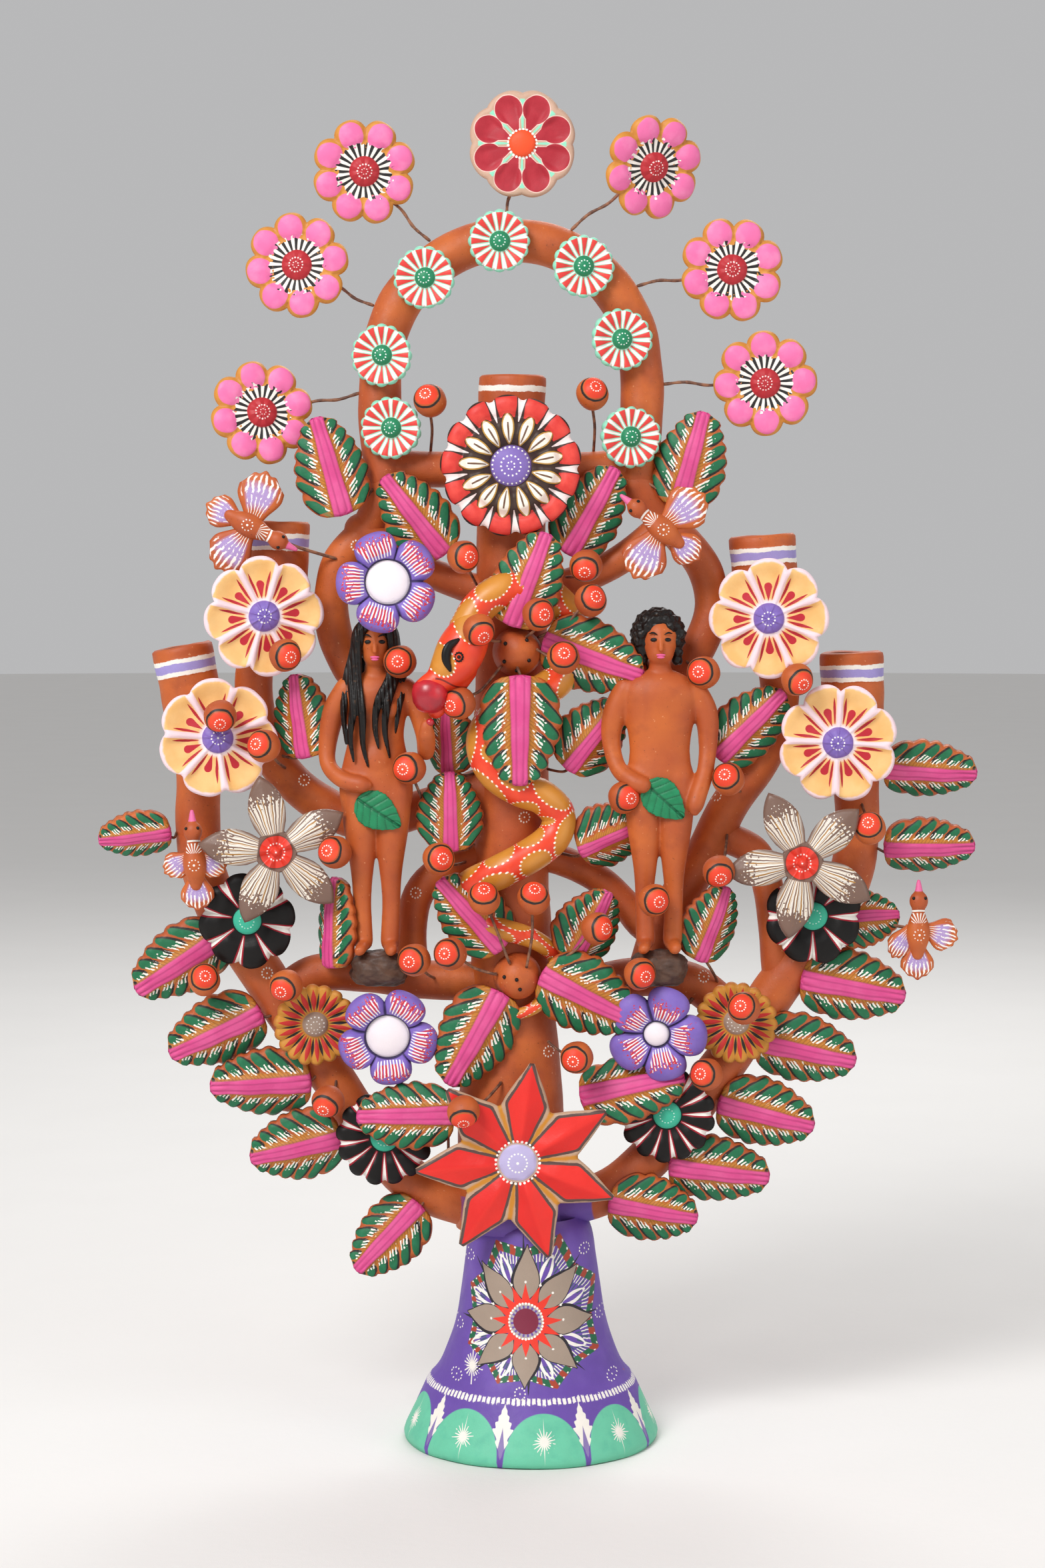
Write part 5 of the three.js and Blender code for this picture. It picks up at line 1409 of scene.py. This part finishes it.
MAN_TORSO = [(14.4, 66), (15, 76), (13.4, 90), (15.4, 104), (17.4, 114), (15, 120), (9, 124), (0, 127)]
MAN_ARMS = [  # one over the leaf, one hanging down
    [(-15, 0.6, 117), (-20, 1, 106), (-21.5, 1, 94), (-18.5, -3, 82), (-12, -8.5, 76.5), (-8, -10, 75)],
    [(15, 0.6, 117), (20.5, 1, 106), (21.5, 1, 93), (20, -2.5, 80), (17, -6.5, 71), (15.5, -8, 66)],
]
man = bmesh.new()
limbs(man, MAN_TORSO, (), MAN_ARMS, 5.2, 7.2)
ball(man, (-9, -10.4, 75.4), (3.6, 2.0, 2.6), (0, 20, 0))
ball(man, (15.2, -8.6, 65), (2.8, 2.0, 4.2))
ball(man, (0, -6.9, 80.5), (0.8, 0.6, 0.8))
doll_head(man, 7.9)
man = fused(man, 0.75)
bmesh.ops.translate(man, vec=FEET["man"], verts=man.verts)
piece(man, "man", skin_look, ["man_figure"])
doll_paint("man", FEET["man"])

hair_look = Paint("black_hair", "100c0a", rough=0.45, coat=0.1, shine=0.3)
hair_look.lay(hair_look.noise(1.6, 3).clear(0.62, 0.74) * 0.5, "5a3d26")
hair_look = hair_look.finish(fade=0.3, grain=0.3)
long_hair = bmesh.new()
ball(long_hair, (0, 2.0, 139.5), (9.4, 8.2, 10.6))
LOCKS = [  # from the parting: six down past the face and over the breast, then three down the back
    [(-1, -4.5, 149.2), (-6.5, -4.8, 145), (-8.8, -3.6, 136), (-10.5, -5, 124), (-9.6, -8.8, 110),
     (-11, -8.6, 97), (-9.5, -8.2, 86)],
    [(-1, -3.5, 149.4), (-7.5, -2.5, 144), (-9.6, -1, 134), (-13, -1.6, 121), (-14, -5.6, 108),
     (-13, -7, 94)],
    [(-0.5, -4.5, 149.2), (-6, -5.6, 144), (-8, -5.2, 135), (-8, -6.6, 122), (-5.6, -10.4, 108),
     (-5.4, -9.2, 94), (-3.2, -8.8, 84)],
    [(1, -4.5, 149.2), (6.5, -4.8, 145), (8.6, -3.8, 136), (8.8, -4.6, 124), (5.6, -9.6, 112),
     (4.4, -9.4, 100), (6.4, -8, 88)],
    [(1, -3.5, 149.4), (7.5, -2.5, 144), (9.4, -1, 134), (12, -1.6, 121), (10.5, -6.6, 110), (9, -8.2, 99)],
    [(0.5, -4.5, 149.2), (5.6, -5.6, 144), (7.8, -5, 136), (7, -7, 124), (1.6, -9.8, 113), (0, -9, 102),
     (1.5, -8.2, 92)],
    [(0, 4, 149), (-6, 8.5, 142), (-7, 9.6, 128), (-6, 9.4, 112), (-4, 8.6, 98)],
    [(0, 4, 149), (0, 10, 142), (0, 11, 128), (1, 10.6, 112), (0, 9.4, 96)],
    [(0, 4, 149), (6, 8.5, 142), (7, 9.6, 128), (6, 9.4, 112), (5, 8.6, 98)],
]
for lock in LOCKS:
    rod(long_hair, lock, lambda t: 2.5 * (1 - t ** 3 * 0.72), 14, 46, flatten=0.85)
long_hair = fused(long_hair, 0.55, 3)
for v in long_hair.verts:
    v.co.y += 0.35 * math.sin(v.co.x * 3.4 + 0.25 * v.co.z)
bmesh.ops.translate(long_hair, vec=FEET["woman"], verts=long_hair.verts)
piece(long_hair, "woman_hair", hair_look)

curly_hair = bmesh.new()
ball(curly_hair, (-0.8, 2.6, 140.6), (10.6, 8.6, 11))
for ring in range(7):
    for step in range(16):
        around, up = 2 * math.pi * (step + 0.5 * (ring % 2)) / 16, math.radians(-34 + 19 * ring)
        x = math.cos(up) * math.sin(around) * 10.4 - 0.8
        y = 2.4 - math.cos(up) * math.cos(around) * 8.4
        z = 140.6 + math.sin(up) * 10.4
        forehead = 146.6 - 0.1 * x * x
        if y > -2.4 or z > forehead:
            ball(curly_hair, (x, y, z), (2.3, 2.2, 2.3))
for side in (-1, 1):
    for drop in range(3):
        ball(curly_hair, ((8.2 - 0.3 * drop) * side, -0.6 + drop * 0.7, 137 - 3.6 * drop), (2.4, 2.4, 2.6))
curly_hair = fused(curly_hair, 0.55, 3)
for v in curly_hair.verts:
    v.co += (v.co - Vector((0, 2.6, 140))).normalized() * 0.7 * noise.noise(v.co * 0.55)
bmesh.ops.translate(curly_hair, vec=FEET["man"], verts=curly_hair.verts)
piece(curly_hair, "man_hair", hair_look)

fig_look = Paint("fig_leaf_green", "0b7a4c", rough=0.5)
fig_look.lay(fig_look.noise(5, 3).clear(0.45, 0.7) * 0.6, "17915f")
# darker green along the pressed midrib and veins, where the leaf dips: painted shade in the grooves
fig_look.lay((abs(fig_look.y) - 0.55).inside(0.5).most(fig_look.z.clear(0.78, 0.96)) * 0.6, "0a4a30")
fig_look = fig_look.finish(fade=0.1)
for who, at, heading in (("woman", (1.5, -9.8, 63.5), -33), ("man", (1.8, -9.8, 68), -42)):
    bm = bmesh.new()
    bmesh.ops.create_grid(bm, x_segments=44, y_segments=30, size=1)
    flat = bm.verts.layers.float_vector.new("flat")
    for vert in bm.verts:
        u, side = (vert.co.x + 1) / 2, vert.co.y
        half = 7.8 * math.sin(math.pi * u ** 0.72) ** 0.8 + 0.3
        across = side * half
        vein = abs(2 * ((u * 6.2 - abs(side) * 1.1) % 1) - 1)
        height = 1.0 - 0.018 * across * across - 0.55 * rise(vein, 0.72, 1)
        height -= 0.9 * math.exp(-(across / 0.5) ** 2)
        across += math.copysign(0.9 * rise(abs(side), 0.6, 1) * (0.6 - vein), side)
        vert[flat] = (u, across, vein)
        vert.co = (23 * (u - 0.5), across, height - 9 * (u - 0.5) ** 2 * 0.5)
    bmesh.ops.solidify(bm, geom=bm.faces[:], thickness=1.6)
    stand = Matrix.Rotation(math.radians(90), 4, "X") @ Matrix.Rotation(math.radians(heading), 4, "Z")
    bmesh.ops.transform(bm, matrix=Matrix.Translation(FEET[who] + Vector(at)) @ stand, verts=bm.verts)
    piece(bm, f"{who}_fig_leaf", fig_look)

bite = bmesh.new()
ball(bite, FEET["woman"] + Vector((24.6, -19.5, 104.0)), (1.8, 1.6, 1.7))
piece(bite, "bitten_fruit", apple_look.material)

# ---- the birds ----
# Small clay birds seen from above, on wires: flat wings and a fan tail washed in lilac and stroked with
# white, a ring of dots on the back, a white collar, black bead eyes and a pink beak.
bird_look = clay_paint("painted_bird")
along, across, part = bird_look.x, bird_look.y, bird_look.z
plate = (part - 0.5).clear(0, 0.1)
strength = bird_look.noise(3, 2)
wash = (abs(across) - 0.66).most(0.3 - along).most(along - 0.84 + strength * 0.2) * 6
bird_look.lay(wash.inside(1.0) * plate * 0.85, "a898d2")
comb = (across * (4.6 - along * 0.9) + (strength - 0.5) * 0.9).saw()
edge_rows = (0.42 - along + bird_look.noise(1.0, 0) * 0.3).most(along - 0.93).most(abs(across) - 0.86)
bird_look.lay((abs(comb) * 1.6 - 0.3).most(edge_rows * 5).inside(0.2) * plate, "f4efe8")
inner_rows = (0.05 - along).most(along - 0.2 - bird_look.noise(1.0, 0) * 0.5).most(abs(across) - 0.7)
bird_look.lay((abs(comb) * 1.6 - 0.2).most(inner_rows * 5).inside(0.2) * plate, "f4efe8")
body_part = 1 - plate
out = along.far(across)
bird_look.lay(bird_look.dots(out, 10, 2.4, 0.3).least(out - 0.5).inside(0.15) * body_part, "f6f1ea")
neck = along - 5.0
fan = (across.math("ARCTAN2", neck + 1) * 3.4).saw()
fan_zone = (0.3 - neck).most(neck - 4.6).most(abs(across) - 3.4)
bird_look.lay((abs(fan) * 2 - 0.36).most(fan_zone).inside(0.2) * body_part, "f3eee6")
collar = abs(along - 10.8 + across * across * 0.05) - 0.42
bird_look.lay(collar.inside(0.2) * body_part, "f3eee6")
bird_look.lay((along - 19.2).clear(0, 0.3) * body_part, "e0679a")
bird_look = bird_look.finish(fade=0.08, grain=0.2)


def feather_plate(bm, flat, root, tip, wide, part, lobes):
    """A flat wing or tail from root to tip with a rounded, notched end."""
    made = bmesh.ops.create_grid(bm, x_segments=22, y_segments=18, size=1)["verts"]
    root, tip = Vector(root), Vector(tip)
    ahead = (tip - root).normalized()
    side_way = Vector((-ahead.y, ahead.x, 0))
    for vert in made:
        u, side = (vert.co.x + 1) / 2, vert.co.y
        notch = 0.5 * (1 + math.cos(side * math.pi * lobes))
        long = (tip - root).length * (1 - 0.2 * side * side) * (1 - 0.06 * (1 - notch) * u)
        half = wide * (0.4 + 0.6 * rise(u, 0, 0.7)) * (1 - 0.25 * rise(u, 0.85, 1))
        height = 0.9 - 1.8 * (u - 0.3) ** 2 - 0.8 * side * side - 0.7 * rise(abs(side), 0.85, 1)
        vert.co = root + ahead * long * u + side_way * side * half + Vector((0, 0, height))
        vert[flat] = (u, side, part)
    faces = list({f for v in made for f in v.link_faces})
    bmesh.ops.solidify(bm, geom=faces, thickness=1.9)


SPREAD = [((1, 2, 1), (-3.5, 25, 1), 10.2), ((1, -2, 1), (-4.5, -24, 1), 10.0)]
FOLDED = [((4, 2, 1.2), (-3.5, 14, 0.6), 6.2), ((4, -2, 1.2), (-4.5, -13, 0.6), 6.2)]
HALF = [((3, 3, 1.2), (-11, 11.5, 0.4), 5.6), ((2, -3, 1), (-2.5, -18, 0.6), 7.4)]
BIRDS = {  # middle, heading, wings, body of the frame, where its wire enters the clay
    "bird_upper_left": ((-125, -22, 415), -27, SPREAD, "bird_upper_left_on_wire", (-87.5, -8.3, 400.3)),
    "bird_upper_right": ((58, -26, 413), 141, SPREAD, "root", (60, -6, 418)),
    "bird_left": ((-149.2, -26, 265), 93, FOLDED, "root", (-150, -8, 262)),
    "bird_right": ((173, -18, 233), 90, HALF, "bird_right_on_wire", (149.5, -2.2, 243)),
}
for bird_name, (at, heading, wings, rides, foot) in BIRDS.items():
    bm = bmesh.new()
    rod(bm, [(-9, 0, 0), (-3, 0, 0.8), (4, 0, 1), (10, 0, 1.2), (14.5, 0, 1.8)],
        lambda t: 3.1 + 2.6 * math.sin(math.pi * min(1, t * 1.25)) ** 1.2, 22, 24, flatten=0.9)
    ball(bm, (14.8, 0, 2.2), (4.6, 4.2, 4.2))
    rod(bm, [(17, 0, 2.2), (20, 0, 2.0), (23.6, 0, 1.4)], lambda t: 2.3 - 1.3 * t, 14, 10)
    bm = fused(bm, 0.55, 5)
    flat = bm.verts.layers.float_vector.new("flat")
    for v in bm.verts:
        v[flat] = (v.co.x, v.co.y, 0)
    for root, tip, wide in wings:
        feather_plate(bm, flat, root, tip, wide, 1, 3)
    feather_plate(bm, flat, (-4, 0, 0.4), (-21, 0, 0.2), 7.4, 1, 2.5)
    stand = Matrix.Rotation(math.radians(90), 4, "X") @ Matrix.Rotation(math.radians(heading), 4, "Z")
    place = Matrix.Translation(at) @ stand
    bmesh.ops.transform(bm, matrix=place, verts=bm.verts)
    piece(bm, bird_name, bird_look, [bird_name], body=rides)
    eyes = bmesh.new()
    for side in (-1, 1):
        ball(eyes, (16.4, 2.6 * side, 5.2), (0.75, 0.75, 0.6))
    bmesh.ops.transform(eyes, matrix=place, verts=eyes.verts)
    piece(eyes, f"{bird_name}_eyes", black_glaze, body=rides)
    wire = bmesh.new()
    belly = place @ Vector((0, 0, -2))
    foot = Vector(foot)
    sag = belly.lerp(foot, 0.5) + Vector((0.6, -1.0, -1.6))
    rod(wire, [belly, belly.lerp(foot, 0.2) + Vector((0, 0.8, 0)), sag, foot], 0.75, 10, 26)
    piece(wire, f"{bird_name}_wire", iron, body=rides)

# ---- white rings of dots on the clay ----
# The painter touched small rings of white dots here and there on the bare bars, the knobs and the bell.
dot_look = Paint("white_dots", "f3ede2", rough=0.6).finish(fade=0.04)
RINGS = [(-102, 301), (83, 294), (78, 212), (-119, 214), (-3, 285), (8, 179), (-78, 406), (57, 411),
         (-140, 250), (135, 245), (-52, 250), (-24, 330), (-33, 55), (31.3, 60), (36.5, 33.5),
         (-33.5, 34.5), (-5, 30.4), (-28, 86), (24, 90)]
dots = bmesh.new()
bpy.context.view_layer.update()
walls = [o for o in scene.objects if o.type == "MESH"
         and o.data.materials[:1] in ([terracotta], [bell.material])]
for x, z in RINGS:
    for step in range(12):
        a = 2 * math.pi * step / 11
        reach = 0 if step == 11 else 2.3
        start = Vector((x + reach * math.cos(a), -200, z + reach * math.sin(a)))
        hits = [wall.ray_cast(start * MM, Vector((0, 1, 0))) for wall in walls]
        hits = [(spot / MM, normal) for struck, spot, normal, _ in hits if struck]
        if not hits:
            continue
        spot, normal = min(hits, key=lambda hit: hit[0].y)
        made = bmesh.ops.create_uvsphere(dots, u_segments=8, v_segments=5, radius=1)["verts"]
        turn = normal.to_track_quat("Z", "Y").to_matrix().to_4x4()
        size = Matrix.Diagonal((0.42, 0.5, 0.2, 1))
        bmesh.ops.transform(dots, matrix=Matrix.Translation(spot) @ turn @ size, verts=made)
piece(dots, "white_dot_rings", dot_look)

low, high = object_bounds()
